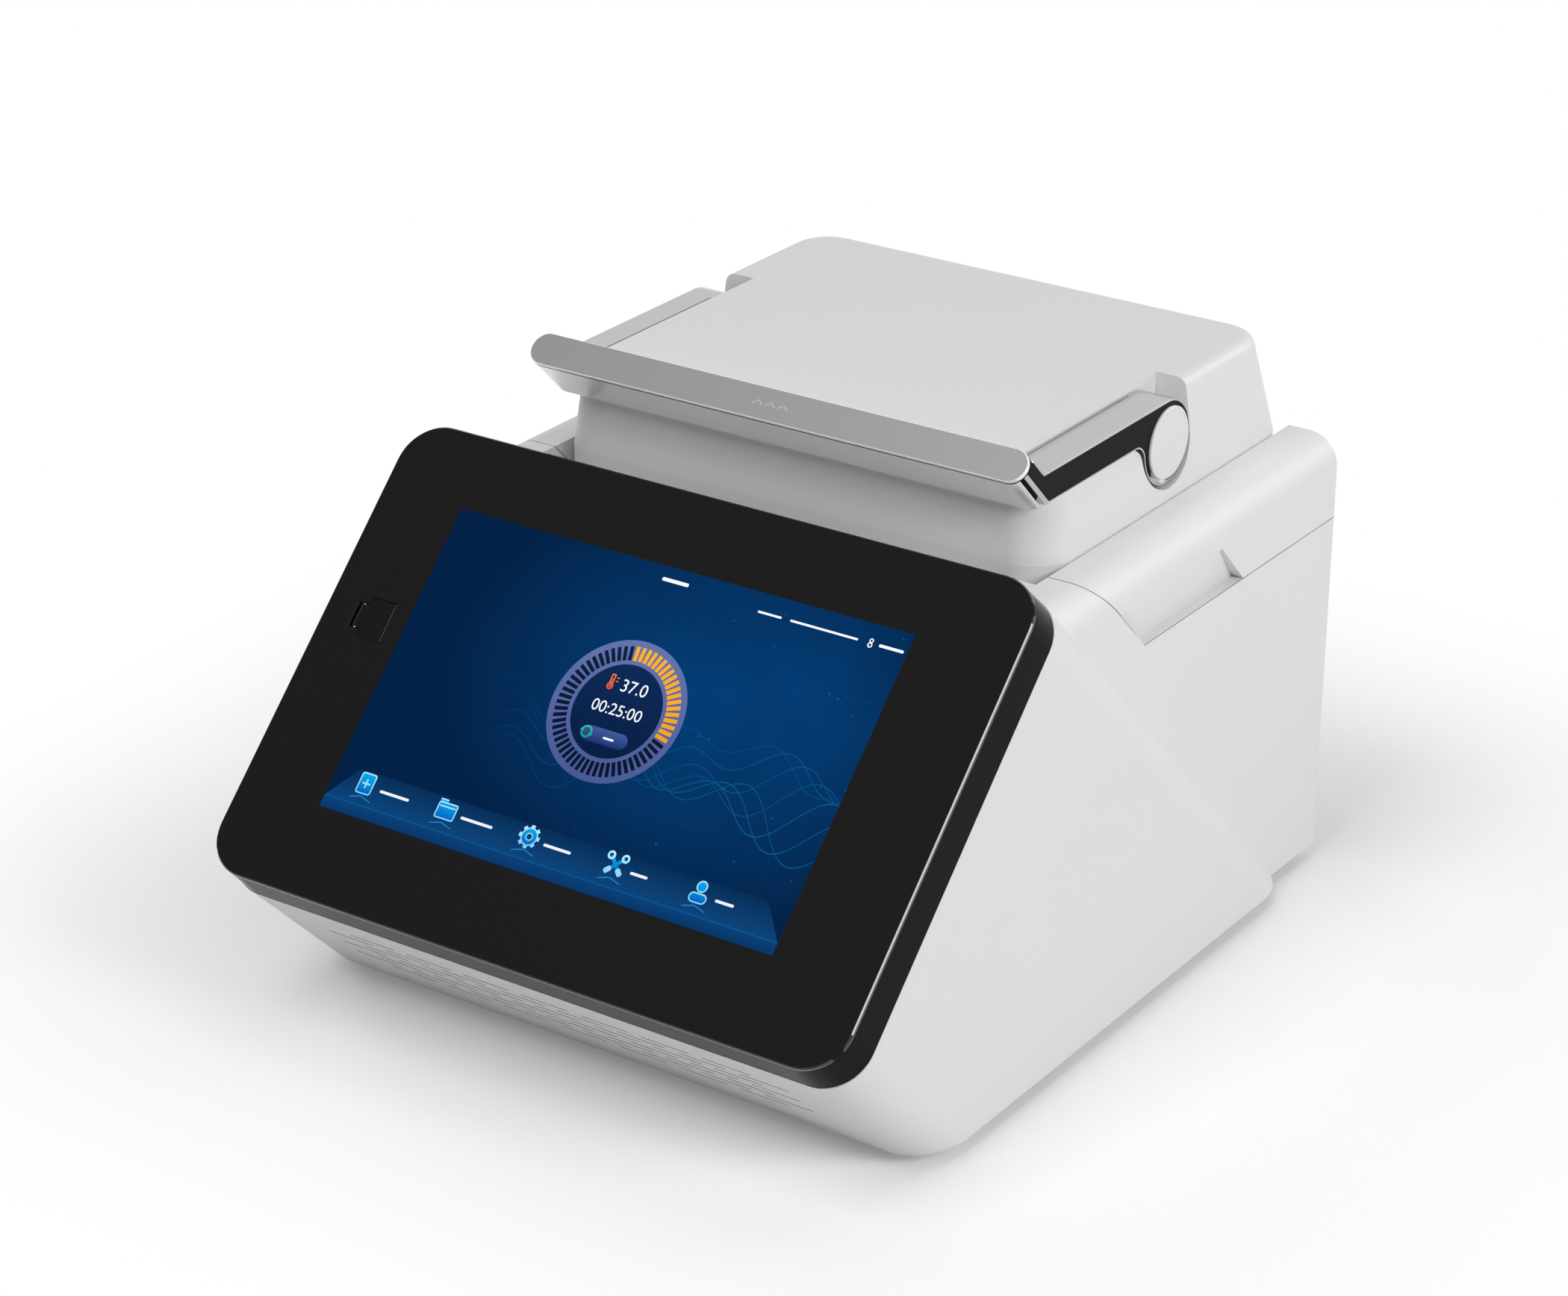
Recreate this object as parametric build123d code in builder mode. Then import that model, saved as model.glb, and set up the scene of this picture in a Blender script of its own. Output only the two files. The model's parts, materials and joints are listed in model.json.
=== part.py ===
import os
from math import atan, cos, degrees, radians, sin, sqrt

from build123d import *

os.makedirs("parts", exist_ok=True)

# The case: overall sizes in millimetres, +Z up, display towards -Y, origin under the middle of the case
overall_deep = 393.0
foot_high = 6.0
body_wide = 287.0
body_high = 191.2
shoulder_round = 14.0
wall = 3.0
seam_high = 154.7
cover_lean = 20.0
pan_thick = 2.5

# The display: a slab that leans back on the wedge-shaped front of the case
face_wide = 301.6
face_high = 203.3
face_corner = 18.8
face_tilt = 45.0
face_lift = 141.6
slab_thick = 18.9
slab_flare = 0.95
glass_thick = 1.8
glass_chamfer = 0.6
screen_wide = 216.96
screen_high = 134.0
screen_u = -1.85
screen_v = 2.5
module_margin = 6.5
module_thick = 5.0
bezel_front = 3.0
bracket_thick = 1.0
bracket_post = 4.0
board_thick = 1.6

cable_window_wide = 120.0
cable_window_high = 60.0

# Air slots under the display
slot_long = 22.4
slot_wide = 1.3
slot_pitch = 28.6
slot_row_pitch = 5.95
slot_first_row = 38.0
pan_slot_long = 70.0
pan_slot_wide = 5.0
pan_slot_pitch = 14.0

# Side door over the front data socket
door_wide = 11.8
door_high = 17.0
door_set = 26.2
door_v = 14.9
door_gap = 0.3
tab_wide = 4.5
tab_high = 10.0
door_pin_radius = 0.6
door_knuckle_radius = 1.2

# The well that the lid sits in, and the deck round the sample block
well_wide = 239.6
well_front = -10.5
deck_high = 178.0
deck_thick = 3.0
hinge_well_front = 158.0
hinge_well_high = 169.0

# Handgrips in the sides, just above the seam
grip_depth = 5.4
grip_top_depth = 1.5
grip_high = 18.5
grip_long = 57.6

# The lid
lid_gap = 0.5
lid_bottom_high = 180.0
lid_knee_high = 192.0
lid_top_high = 236.0
lid_front = -0.55
lid_top_wide = 226.8
lid_front_lean = 2.3
lid_rear_lean = 11.4
lid_corner = 18.0
lid_top_round = 5.0
lid_wall = 3.0
liner_thick = 2.5
liner_rear = 156.0
hinge_axis_y = 180.0
hinge_axis_high = 190.0
hinge_pin_radius = 3.0
hinge_x = 90.0
hinge_plate_wide = 10.0
hinge_slot_wide = 36.0
hinge_slot_high = 22.0
running_gap = 0.05

# The lever over the lid
pivot_y = 95.45
pivot_high = 215.4
arm_head_radius = 18.0
arm_inner_x = 99.8
arm_outer_x = 116.8
arm_drop = 4.8
arm_swell = 8.0
arm_elbow = 3.0
arm_gap = 0.4
head_gap = 1.5
insert_thick = 1.2
insert_proud = 0.3
insert_margin = 0.9
insert_lead = 2.4
cap_radius = 15.3
cap_thick = 2.6
shaft_radius = 4.0
bush_radius = 6.0
bush_flange = 8.0
plate_long = 236.6
plate_wide = 14.3
plate_thick = 2.0
plate_y = -17.3
plate_high = 241.3
bar_skin = 2.5
bar_foot_high = 218.6
arm_front_set = 2.0
arm_rise_set = 1.5
arm_seat_deep = 3.0
bar_end_set = 4.2

# The sample block and what lies under it
block_y = 60.5
well_pitch = 9.0
wells_across = 12
wells_deep = 8
well_top_radius = 3.2
well_bottom_radius = 1.4
well_deep = 14.0
block_top_high = 179.0
block_high = 20.0
flange_wide = 124.0
flange_deep = 88.0
flange_thick = 5.0
frame_wide = 140.0
frame_deep = 104.0
frame_lip = 5.0
window_wide = 130.0
window_deep = 90.0
seal_wide = 1.8
peltier_size = 36.0
peltier_thick = 3.8
peltier_gap = 1.0
sheet_thick = 0.5
sink_wide = 164.0
sink_deep = 110.0
sink_base = 10.0
fin_high = 45.0
fin_thick = 1.6
fin_count = 18
fin_margin = 14.0

# Heated plate in the lid
heater_wide = 122.0
heater_deep = 84.0
heater_thick = 8.0
heater_high = 186.0
film_thick = 0.6
carrier_thick = 5.4
lift = 3.0
lid_frame_high = 204.0
lid_frame_thick = 3.0
post_radius = 3.0
post_x = 50.0
post_y = 25.0
cam_x = 30.0
cam_thick = 8.0
cam_throw = 5.9
cam_tip_radius = 4.0
cam_phase = 40.0
hook_x = 80.0
hook_thick = 5.0
hook_reach = 44.0
hook_nose = 6.0
hook_slot_wide = 10.0
hook_slot_deep = 52.0
hook_slot_y = 83.45
spring_wire = 1.2

# Fans and the rear panel
fan_size = 80.0
fan_thick = 25.0
fan_bore_radius = 38.0
fan_x = 45.0
fan_high = 109.0
fan_hub_radius = 15.0
blade_count = 7
fan_hole_pitch = 71.5
fan_screw_radius = 2.0
rotor_shaft_radius = 1.5
duct_wall = 1.5
panel_thick = 2.0
panel_set = 4.0

# Places that follow from the sizes above
rear_y = overall_deep / 2
base_z = foot_high
top_z = base_z + body_high
seam_z = base_z + seam_high
deck_z = base_z + deck_high
hinge_floor_z = base_z + hinge_well_high
tilt_sin = sin(radians(face_tilt))
tilt_cos = cos(radians(face_tilt))
face_y = (face_high / 2 - glass_chamfer) * tilt_cos - rear_y
face_z = base_z + face_lift
door_u = door_set - face_wide / 2
half_wide = face_wide / 2 + slab_flare
half_high = face_high / 2 + slab_flare
slab_taper = degrees(atan(slab_flare / slab_thick))
half_body = body_wide / 2
half_well = well_wide / 2
cover_v = half_high + cover_lean
grip_end_v = cover_v + grip_long
hinge_z = base_z + hinge_axis_high
pivot_z = base_z + pivot_high
block_top_z = base_z + block_top_high
block_bottom_z = block_top_z - block_high
block_wide = well_pitch * wells_across
block_deep = well_pitch * wells_deep
peltier_z = block_bottom_z - peltier_thick
sink_top_z = peltier_z - sheet_thick
sink_under_z = sink_top_z - sink_base
fan_z = base_z + fan_high
panel_y = rear_y - panel_set - panel_thick
pan_top_z = base_z + pan_thick

face_normal = Vector(0, -tilt_sin, tilt_cos)
face_up = Vector(0, tilt_cos, tilt_sin)
face_centre = Vector(0, face_y, face_z)
face_plane = Plane(origin=face_centre, x_dir=(1, 0, 0), z_dir=face_normal)


def face_point(u, v, n):
    """A point given along the display's width, up its face and out of it."""
    return face_centre + Vector(u, 0, 0) + face_up * v + face_normal * n


def lean_plane(v):
    """A plane square to the display's face and parallel to its top edge."""
    return Plane(origin=face_point(0, v, 0), x_dir=(1, 0, 0), z_dir=face_up)


# Where the top of the wedge meets the flat top of the body
join_n = (top_z - face_z - half_high * tilt_sin) / tilt_cos
wedge_long = (face_lift + half_high * tilt_sin) / tilt_cos


def wedge_form(inset):
    with BuildPart() as form:
        with BuildSketch(face_plane.offset(-slab_thick - inset)):
            RectangleRounded(2 * (half_wide - inset), 2 * (half_high - inset), face_corner - inset)
        extrude(amount=-wedge_long)
        split(bisect_by=Plane.XY.offset(base_z), keep=Keep.TOP)
    return form.part


def rear_form(inset):
    with BuildPart() as form:
        with BuildSketch(Plane.XZ.offset(inset - rear_y)) as outline:
            with Locations((0, base_z)):
                Rectangle(body_wide - 2 * inset, body_high - inset, align=(Align.CENTER, Align.MIN))
            fillet(outline.vertices().group_by(Axis.Y)[-1], shoulder_round - inset)
        extrude(amount=overall_deep)
        split(bisect_by=lean_plane(half_high - face_corner), keep=Keep.TOP)
        split(bisect_by=face_plane.offset(join_n), keep=Keep.BOTTOM)
    return form.part


def well_form(grow):
    with BuildPart() as form:
        with BuildSketch(Plane.YZ):
            Polygon(
                (well_front - grow, top_z + wall),
                (well_front - grow, deck_z - grow),
                (hinge_well_front - grow, deck_z - grow),
                (hinge_well_front - grow, hinge_floor_z - grow),
                (rear_y + wall, hinge_floor_z - grow),
                (rear_y + wall, top_z + wall),
                align=None,
            )
        extrude(amount=half_well + grow, both=True)
    return form.part


def grip_form(grow):
    """The hollow of one handgrip, mirrored to both sides."""
    with BuildPart() as form:
        with BuildSketch(Plane.XZ.offset(-rear_y)):
            Polygon(
                (half_body + wall, seam_z - grow),
                (half_body - grip_depth - grow, seam_z - grow),
                (half_body - grip_top_depth - grow, seam_z + grip_high),
                (half_body + wall, seam_z + grip_high + grip_top_depth + wall + grow),
                align=None,
            )
        extrude(amount=overall_deep)
        split(bisect_by=lean_plane(cover_v - grow), keep=Keep.TOP)
        split(bisect_by=lean_plane(grip_end_v + grow), keep=Keep.BOTTOM)
        mirror(about=Plane.YZ)
    return form.part


with BuildPart() as cavity:
    add(wedge_form(wall))
    add(rear_form(wall))

with BuildPart() as shell:
    add(wedge_form(0))
    add(rear_form(0))
    add(cavity.part - well_form(wall) - grip_form(wall), mode=Mode.SUBTRACT)
    add(well_form(0), mode=Mode.SUBTRACT)
    add(grip_form(0), mode=Mode.SUBTRACT)

# Everything above the seam and behind the leaning front seam belongs to the top cover
seam_front_y = face_y + (cover_v - (seam_z - face_z) * tilt_sin) / tilt_cos
with BuildPart() as cover_zone:
    with BuildSketch(Plane.YZ):
        Polygon(
            (seam_front_y, seam_z),
            (rear_y + wall, seam_z),
            (rear_y + wall, top_z + wall),
            (seam_front_y - (top_z + wall - seam_z) * tilt_sin / tilt_cos, top_z + wall),
            align=None,
        )
    extrude(amount=half_body + wall, both=True)

# Screws that hold the base pan, close to the side walls
case_boss_radius = 4.0
case_boss_high = 12.0
case_screw_radius = 1.6
boss_set = wall + case_boss_radius - 0.5
wedge_screw_x = half_wide - boss_set
rear_screw_x = half_body - boss_set
front_screw_y = -70.0
middle_screw_y = 40.0
rear_screw_y = rear_y - 20.5
case_screw_places = [(side * x, y) for side in (-1, 1) for x, y in (
    (wedge_screw_x, front_screw_y), (wedge_screw_x, middle_screw_y), (rear_screw_x, rear_screw_y))]

# Main housing: the wedge under the display and the lower body, open underneath and behind
chin_plane = Plane(origin=face_point(0, -half_high, 0), x_dir=(1, 0, 0), z_dir=-face_up)
with BuildPart() as main_housing:
    add(shell.part)
    add(cover_zone.part, mode=Mode.SUBTRACT)
    with BuildSketch(Plane.XZ.offset(-rear_y)):
        with Locations((0, base_z)):
            Rectangle(body_wide - 2 * wall, seam_high, align=(Align.CENTER, Align.MIN))
    extrude(amount=2 * wall, mode=Mode.SUBTRACT)
    # A window behind the display for its cables
    with BuildSketch(face_plane.offset(-slab_thick)):
        Rectangle(cable_window_wide, cable_window_high)
    extrude(amount=-2 * wall, mode=Mode.SUBTRACT)
    # Seven rows of air slots, every other row shifted by half a pitch
    with BuildSketch(chin_plane):
        for row in range(7):
            per_row = 7 + row % 2
            with Locations((0, -slot_first_row - row * slot_row_pitch)):
                with GridLocations(slot_pitch, 1, per_row, 1):
                    Rectangle(slot_long, slot_wide)
    extrude(amount=-2 * wall, mode=Mode.SUBTRACT)
    # Bosses for the screws that hold the base pan
    with BuildSketch(Plane.XY.offset(pan_top_z)):
        for boss in case_screw_places:
            with Locations(boss):
                Circle(case_boss_radius)
                Circle(case_screw_radius, mode=Mode.SUBTRACT)
    extrude(amount=case_boss_high)
main_housing.part.label = "main_housing"
export_step(main_housing.part, "parts/main_housing.step")

# Top cover: shoulders, handgrips, the lid's well and the deck with its window
with BuildPart() as top_cover:
    add(shell.part)
    add(cover_zone.part, mode=Mode.INTERSECT)
    with BuildSketch(Plane.XY.offset(deck_z)):
        with Locations((0, block_y)):
            Rectangle(window_wide, window_deep)
        with Locations((-hook_x, hook_slot_y), (hook_x, hook_slot_y)):
            Rectangle(hook_slot_wide, hook_slot_deep)
    extrude(amount=-2 * deck_thick, mode=Mode.SUBTRACT)
top_cover.part.label = "top_cover"
export_step(top_cover.part, "parts/top_cover.step")

# Base pan: closes the case underneath, with air slots below the heat sink
with BuildPart() as base_pan:
    add(cavity.part)
    split(bisect_by=Plane.XY.offset(pan_top_z), keep=Keep.BOTTOM)
    with BuildSketch(Plane.XY.offset(base_z)):
        with Locations((0, block_y)):
            with GridLocations(pan_slot_long + 20, pan_slot_pitch, 2, 7):
                SlotOverall(pan_slot_long, pan_slot_wide)
        for place in case_screw_places:
            with Locations(place):
                Circle(case_screw_radius)
    extrude(amount=pan_thick, mode=Mode.SUBTRACT)
base_pan.part.label = "base_pan"
export_step(base_pan.part, "parts/base_pan.step")

# Rubber feet under the four corners
foot_radius = 10.0
foot_x = 112.0
foot_front_y = -92.0
foot_rear_y = 168.0
with BuildPart() as rubber_feet:
    for foot_y in (foot_front_y, foot_rear_y):
        for foot_side in (-foot_x, foot_x):
            with BuildSketch(Plane.XY):
                with Locations((foot_side, foot_y)):
                    Circle(foot_radius)
            extrude(amount=foot_high)
    chamfer(rubber_feet.edges().group_by(Axis.Z)[0], 1)
rubber_feet.part.label = "rubber_feet"
export_step(rubber_feet.part, "parts/rubber_feet.step")

# Rear panel, set in a little, with fan grilles and cut-outs
panel_half = half_body - wall
inlet_x = -113.0
inlet_z = base_z + 62.0
inlet_wide = 28.0
inlet_high = 48.0
switch_z = base_z + 116.0
switch_wide = 22.0
switch_high = 30.0
port_x = 113.0
port_z = base_z + 60.0
port_wide = 17.0
port_high = 52.0
grille_bar = 7.0
with BuildPart() as rear_panel:
    with BuildSketch(Plane.XZ.offset(-panel_y)):
        with Locations((0, pan_top_z)):
            Rectangle(2 * panel_half, seam_z - pan_top_z, align=(Align.CENTER, Align.MIN))
        with Locations((inlet_x, inlet_z)):
            Rectangle(inlet_wide, inlet_high, mode=Mode.SUBTRACT)
        with Locations((inlet_x, switch_z)):
            Rectangle(switch_wide, switch_high, mode=Mode.SUBTRACT)
        with Locations((port_x, port_z)):
            Rectangle(port_wide, port_high, mode=Mode.SUBTRACT)
        for bar in range(-4, 5):
            reach = sqrt((fan_bore_radius - 2) ** 2 - (bar * grille_bar) ** 2)
            with Locations((-fan_x, fan_z + bar * grille_bar), (fan_x, fan_z + bar * grille_bar)):
                Rectangle(2 * reach, grille_bar - 3, mode=Mode.SUBTRACT)
        for fan_side in (-fan_x, fan_x):
            with Locations((fan_side, fan_z)):
                with GridLocations(fan_hole_pitch, fan_hole_pitch, 2, 2):
                    Circle(fan_screw_radius, mode=Mode.SUBTRACT)
    extrude(amount=-panel_thick)
rear_panel.part.label = "rear_panel"
export_step(rear_panel.part, "parts/rear_panel.step")

# Display: glass, housing, panel, clamp bracket and its board
door_place = (door_u, door_v)
tab_u = door_u - door_wide / 2 - tab_wide / 2
knuckle_u = tab_u - tab_wide / 2 + door_knuckle_radius
knuckle_n = -door_knuckle_radius
slot_clear = 2 * door_gap
with BuildPart() as touch_glass:
    with BuildSketch(face_plane):
        RectangleRounded(face_wide, face_high, face_corner)
        with Locations(door_place):
            Rectangle(door_wide + slot_clear, door_high + slot_clear, mode=Mode.SUBTRACT)
        with Locations((tab_u - door_knuckle_radius / 2, door_v)):
            Rectangle(tab_wide + door_knuckle_radius + slot_clear, tab_high + slot_clear, mode=Mode.SUBTRACT)
    extrude(amount=-glass_thick)
    rim = touch_glass.edges().filter_by(lambda e: abs((e.center() - face_centre).dot(face_normal)) < 0.01)
    chamfer(rim.filter_by(lambda e: abs(e.center().X) > face_wide / 2 - face_corner or
                          abs((e.center() - face_centre).dot(face_up)) > face_high / 2 - 1), glass_chamfer)
touch_glass.part.label = "touch_glass"
export_step(touch_glass.part, "parts/touch_glass.step")

glass_back = face_plane.offset(-glass_thick)
module_wide = screen_wide + 2 * module_margin
module_high = screen_high + 2 * module_margin
bezel_depth = slab_thick - glass_thick
socket_wide = 7.0
socket_high = 14.0
socket_deep = 14.0
bracket_x = module_wide / 2 - 30
bracket_y = module_high / 2 + 4
with BuildPart() as display_housing:
    with BuildSketch(glass_back):
        RectangleRounded(face_wide, face_high, face_corner)
    extrude(amount=-bezel_depth, taper=-slab_taper)
    # Hollow behind the front flange that the glass is bonded to
    with BuildSketch(glass_back.offset(-bezel_front)):
        RectangleRounded(face_wide - 2 * wall, face_high - 2 * wall, face_corner - wall)
    extrude(amount=bezel_front - bezel_depth, mode=Mode.SUBTRACT)
    with BuildSketch(glass_back):
        with Locations((screen_u, screen_v)):
            Rectangle(module_wide + 0.6, module_high + 0.6)
        with Locations(door_place):
            Rectangle(socket_wide + 0.6, socket_high + 0.6)
    extrude(amount=-bezel_front, mode=Mode.SUBTRACT)
    # A shallow seat for the door and its knuckle
    with BuildSketch(glass_back):
        with Locations((tab_u - door_knuckle_radius / 2, door_v)):
            Rectangle(tab_wide + door_knuckle_radius + slot_clear, tab_high + slot_clear)
    extrude(amount=-1.2, mode=Mode.SUBTRACT)
    # Bosses for the clamp bracket
    with BuildSketch(glass_back.offset(-bezel_front)):
        with Locations((screen_u, screen_v)):
            with GridLocations(2 * bracket_x, 2 * bracket_y, 2, 2):
                Circle(3)
    extrude(amount=bezel_front - module_thick)
display_housing.part.label = "display_housing"
export_step(display_housing.part, "parts/display_housing.step")

with BuildPart() as lcd_module:
    with BuildSketch(glass_back):
        with Locations((screen_u, screen_v)):
            Rectangle(module_wide, module_high)
    extrude(amount=-module_thick)
lcd_module.part.label = "lcd_module"
export_step(lcd_module.part, "parts/lcd_module.step")

bracket_front = glass_back.offset(-module_thick)
board_wide = 150.0
board_high = 92.0
with BuildPart() as display_bracket:
    with BuildSketch(bracket_front):
        with Locations((screen_u, screen_v)):
            Rectangle(module_wide - 20, 2 * bracket_y + 8)
            Rectangle(board_wide - 30, board_high - 30, mode=Mode.SUBTRACT)
    extrude(amount=-bracket_thick)
    with BuildSketch(bracket_front.offset(-bracket_thick)):
        with Locations((screen_u, screen_v)):
            with GridLocations(board_wide - 10, board_high - 10, 2, 2):
                Circle(2.5)
    extrude(amount=-bracket_post)
display_bracket.part.label = "display_bracket"
export_step(display_bracket.part, "parts/display_bracket.step")

board_front = bracket_front.offset(-bracket_thick - bracket_post)
with BuildPart() as display_board:
    with BuildSketch(board_front):
        with Locations((screen_u, screen_v)):
            Rectangle(board_wide, board_high)
    extrude(amount=-board_thick)
    with BuildSketch(board_front):
        with Locations((screen_u - 30, screen_v)):
            Rectangle(24, 24)
        with Locations((screen_u + 25, screen_v + 8)):
            Rectangle(16, 30)
        with Locations((screen_u + 10, screen_v - 24)):
            Rectangle(40, 8)
    extrude(amount=2.5)
display_board.part.label = "display_board"
export_step(display_board.part, "parts/display_board.step")

# Data socket behind the side door: a folded metal shell round its tongue
with BuildPart() as usb_socket:
    with BuildSketch(glass_back):
        with Locations(door_place):
            Rectangle(socket_wide, socket_high)
            Rectangle(socket_wide - 1.2, socket_high - 1.2, mode=Mode.SUBTRACT)
    extrude(amount=-socket_deep)
    with BuildSketch(glass_back.offset(2 - socket_deep)):
        with Locations(door_place):
            Rectangle(socket_wide, socket_high)
    extrude(amount=-2)
    with BuildSketch(glass_back.offset(2 - socket_deep)):
        with Locations((door_u - 1, door_v)):
            Rectangle(1.8, socket_high - 3)
    extrude(amount=socket_deep - 4)
usb_socket.part.label = "usb_socket"
export_step(usb_socket.part, "parts/usb_socket.step")

# The door turns on a pin along its left edge
with BuildPart() as usb_door:
    with BuildSketch(face_plane):
        with Locations(door_place):
            Rectangle(door_wide, door_high)
        with Locations((tab_u + door_knuckle_radius / 2, door_v)):
            Rectangle(tab_wide - door_knuckle_radius, tab_high)
    extrude(amount=-glass_thick + 0.3)
    knuckle_end = Plane(origin=face_point(knuckle_u, door_v - tab_high / 2, knuckle_n),
                        x_dir=(1, 0, 0), z_dir=face_up)
    with BuildSketch(knuckle_end):
        Circle(door_knuckle_radius)
    extrude(amount=tab_high)
    with BuildSketch(knuckle_end):
        Circle(door_pin_radius + running_gap)
    extrude(amount=tab_high, mode=Mode.SUBTRACT)
usb_door.part.label = "usb_door"
export_step(usb_door.part, "parts/usb_door.step")

with BuildPart() as usb_door_pin:
    with BuildSketch(knuckle_end.offset(-slot_clear / 2)):
        Circle(door_pin_radius)
    extrude(amount=tab_high + slot_clear)
usb_door_pin.part.label = "usb_door_pin"
export_step(usb_door_pin.part, "parts/usb_door_pin.step")

# Block frame: a ring that drops into the deck's window and stands round the sample block
frame_hole_wide = block_wide + 2 * seal_wide
frame_hole_deep = block_deep + 2 * seal_wide
with BuildPart() as block_frame:
    with BuildSketch(Plane.XY.offset(deck_z)):
        with Locations((0, block_y)):
            Rectangle(frame_wide, frame_deep)
            Rectangle(frame_hole_wide, frame_hole_deep, mode=Mode.SUBTRACT)
    extrude(amount=block_top_z - deck_z)
    with BuildSketch(Plane.XY.offset(deck_z)):
        with Locations((0, block_y)):
            Rectangle(window_wide - 1, window_deep - 1)
            Rectangle(frame_hole_wide, frame_hole_deep, mode=Mode.SUBTRACT)
    extrude(amount=-frame_lip)
block_frame.part.label = "block_frame"
export_step(block_frame.part, "parts/block_frame.step")

with BuildPart() as block_seal:
    with BuildSketch(Plane.XY.offset(deck_z - frame_lip)):
        with Locations((0, block_y)):
            Rectangle(frame_hole_wide, frame_hole_deep)
            Rectangle(block_wide, block_deep, mode=Mode.SUBTRACT)
    extrude(amount=frame_lip)
block_seal.part.label = "block_seal"
export_step(block_seal.part, "parts/block_seal.step")

# Sample block: a flanged plate with eight rows of twelve tapered wells
well_taper = degrees(atan((well_top_radius - well_bottom_radius) / well_deep))
with BuildPart() as sample_block:
    with BuildSketch(Plane.XY.offset(block_bottom_z)):
        with Locations((0, block_y)):
            Rectangle(flange_wide, flange_deep)
            with GridLocations(flange_wide - 8, flange_deep - 8, 2, 2):
                Circle(1.7, mode=Mode.SUBTRACT)
    extrude(amount=flange_thick)
    with BuildSketch(Plane.XY.offset(block_bottom_z)):
        with Locations((0, block_y)):
            Rectangle(block_wide, block_deep)
    extrude(amount=block_high)
    with BuildSketch(Plane.XY.offset(block_top_z)):
        with Locations((0, block_y)):
            with GridLocations(well_pitch, well_pitch, wells_across, wells_deep):
                Circle(well_top_radius)
    extrude(amount=-well_deep, taper=well_taper, mode=Mode.SUBTRACT)
sample_block.part.label = "sample_block"
export_step(sample_block.part, "parts/sample_block.step")

# Heat pumps under the block, two rows of three
with BuildPart() as peltier_modules:
    with BuildSketch(Plane.XY.offset(peltier_z)):
        with Locations((0, block_y)):
            with GridLocations(peltier_size + peltier_gap, peltier_size + peltier_gap, 3, 2):
                Rectangle(peltier_size, peltier_size)
    extrude(amount=peltier_thick)
peltier_modules.part.label = "peltier_modules"
export_step(peltier_modules.part, "parts/peltier_modules.step")

with BuildPart() as thermal_sheet:
    with BuildSketch(Plane.XY.offset(sink_top_z)):
        with Locations((0, block_y)):
            Rectangle(3 * peltier_size + 2 * peltier_gap, 2 * peltier_size + peltier_gap)
    extrude(amount=sheet_thick)
thermal_sheet.part.label = "thermal_sheet"
export_step(thermal_sheet.part, "parts/thermal_sheet.step")

# Heat sink: a thick plate with fins that run towards the fans
fin_pitch = (sink_wide - 2 * fin_margin) / (fin_count - 1)
with BuildPart() as heat_sink:
    with BuildSketch(Plane.XZ.offset(-block_y - sink_deep / 2)):
        with Locations((0, sink_top_z)):
            Rectangle(sink_wide, sink_base, align=(Align.CENTER, Align.MAX))
        with Locations((0, sink_under_z)):
            with GridLocations(fin_pitch, 1, fin_count, 1):
                Rectangle(fin_thick, fin_high, align=(Align.CENTER, Align.MAX))
    extrude(amount=sink_deep)
heat_sink.part.label = "heat_sink"
export_step(heat_sink.part, "parts/heat_sink.step")

# Clamp screws through the block's flange into the heat sink, with their heads on the flange
with BuildPart() as block_screws:
    with BuildSketch(Plane.XY.offset(sink_top_z)):
        with Locations((0, block_y)):
            with GridLocations(flange_wide - 8, flange_deep - 8, 2, 2):
                Circle(1.5)
    extrude(amount=block_bottom_z + flange_thick - sink_top_z)
    with BuildSketch(Plane.XY.offset(block_bottom_z + flange_thick)):
        with Locations((0, block_y)):
            with GridLocations(flange_wide - 8, flange_deep - 8, 2, 2):
                Circle(2.8)
    extrude(amount=2.4)
block_screws.part.label = "block_screws"
export_step(block_screws.part, "parts/block_screws.step")

# Two folded rails carry the heat sink over the power supply
rail_thick = 2.0
rail_flange = 12.0
rail_x = sink_wide / 2 + 6
rail_front_y = block_y - sink_deep / 2
rail_rear_y = block_y + sink_deep / 2
for side, name in ((-1, "left"), (1, "right")):
    with BuildPart() as sink_rail:
        with BuildSketch(Plane.XZ.offset(-rail_front_y)):
            with BuildLine():
                Polyline(
                    (side * rail_x, pan_top_z),
                    (side * (rail_x + rail_flange), pan_top_z),
                    (side * (rail_x + rail_flange), pan_top_z + rail_thick),
                    (side * (rail_x + rail_thick), pan_top_z + rail_thick),
                    (side * (rail_x + rail_thick), sink_under_z),
                    (side * (rail_x - rail_flange), sink_under_z),
                    (side * (rail_x - rail_flange), sink_under_z - rail_thick),
                    (side * rail_x, sink_under_z - rail_thick),
                    close=True,
                )
            make_face()
        extrude(amount=rail_front_y - rail_rear_y)
    sink_rail.part.label = f"sink_rail_{name}"
    export_step(sink_rail.part, f"parts/sink_rail_{name}.step")

# The lid: drafted sides, a leaning back and rounded corners
lid_bottom_z = base_z + lid_bottom_high
lid_knee_z = base_z + lid_knee_high
lid_top_z = base_z + lid_top_high
lid_half = half_well - lid_gap
lid_rear = rear_y - 0.05
lid_floor_z = lid_bottom_z + liner_thick


def lid_section(height, half, front, rear, corner):
    """A rounded rectangle across the lid at one height."""
    with BuildSketch(Plane.XY.offset(height)) as section:
        with Locations((0, (front + rear) / 2)):
            RectangleRounded(2 * half, rear - front, corner)
    return section.sketch


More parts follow.
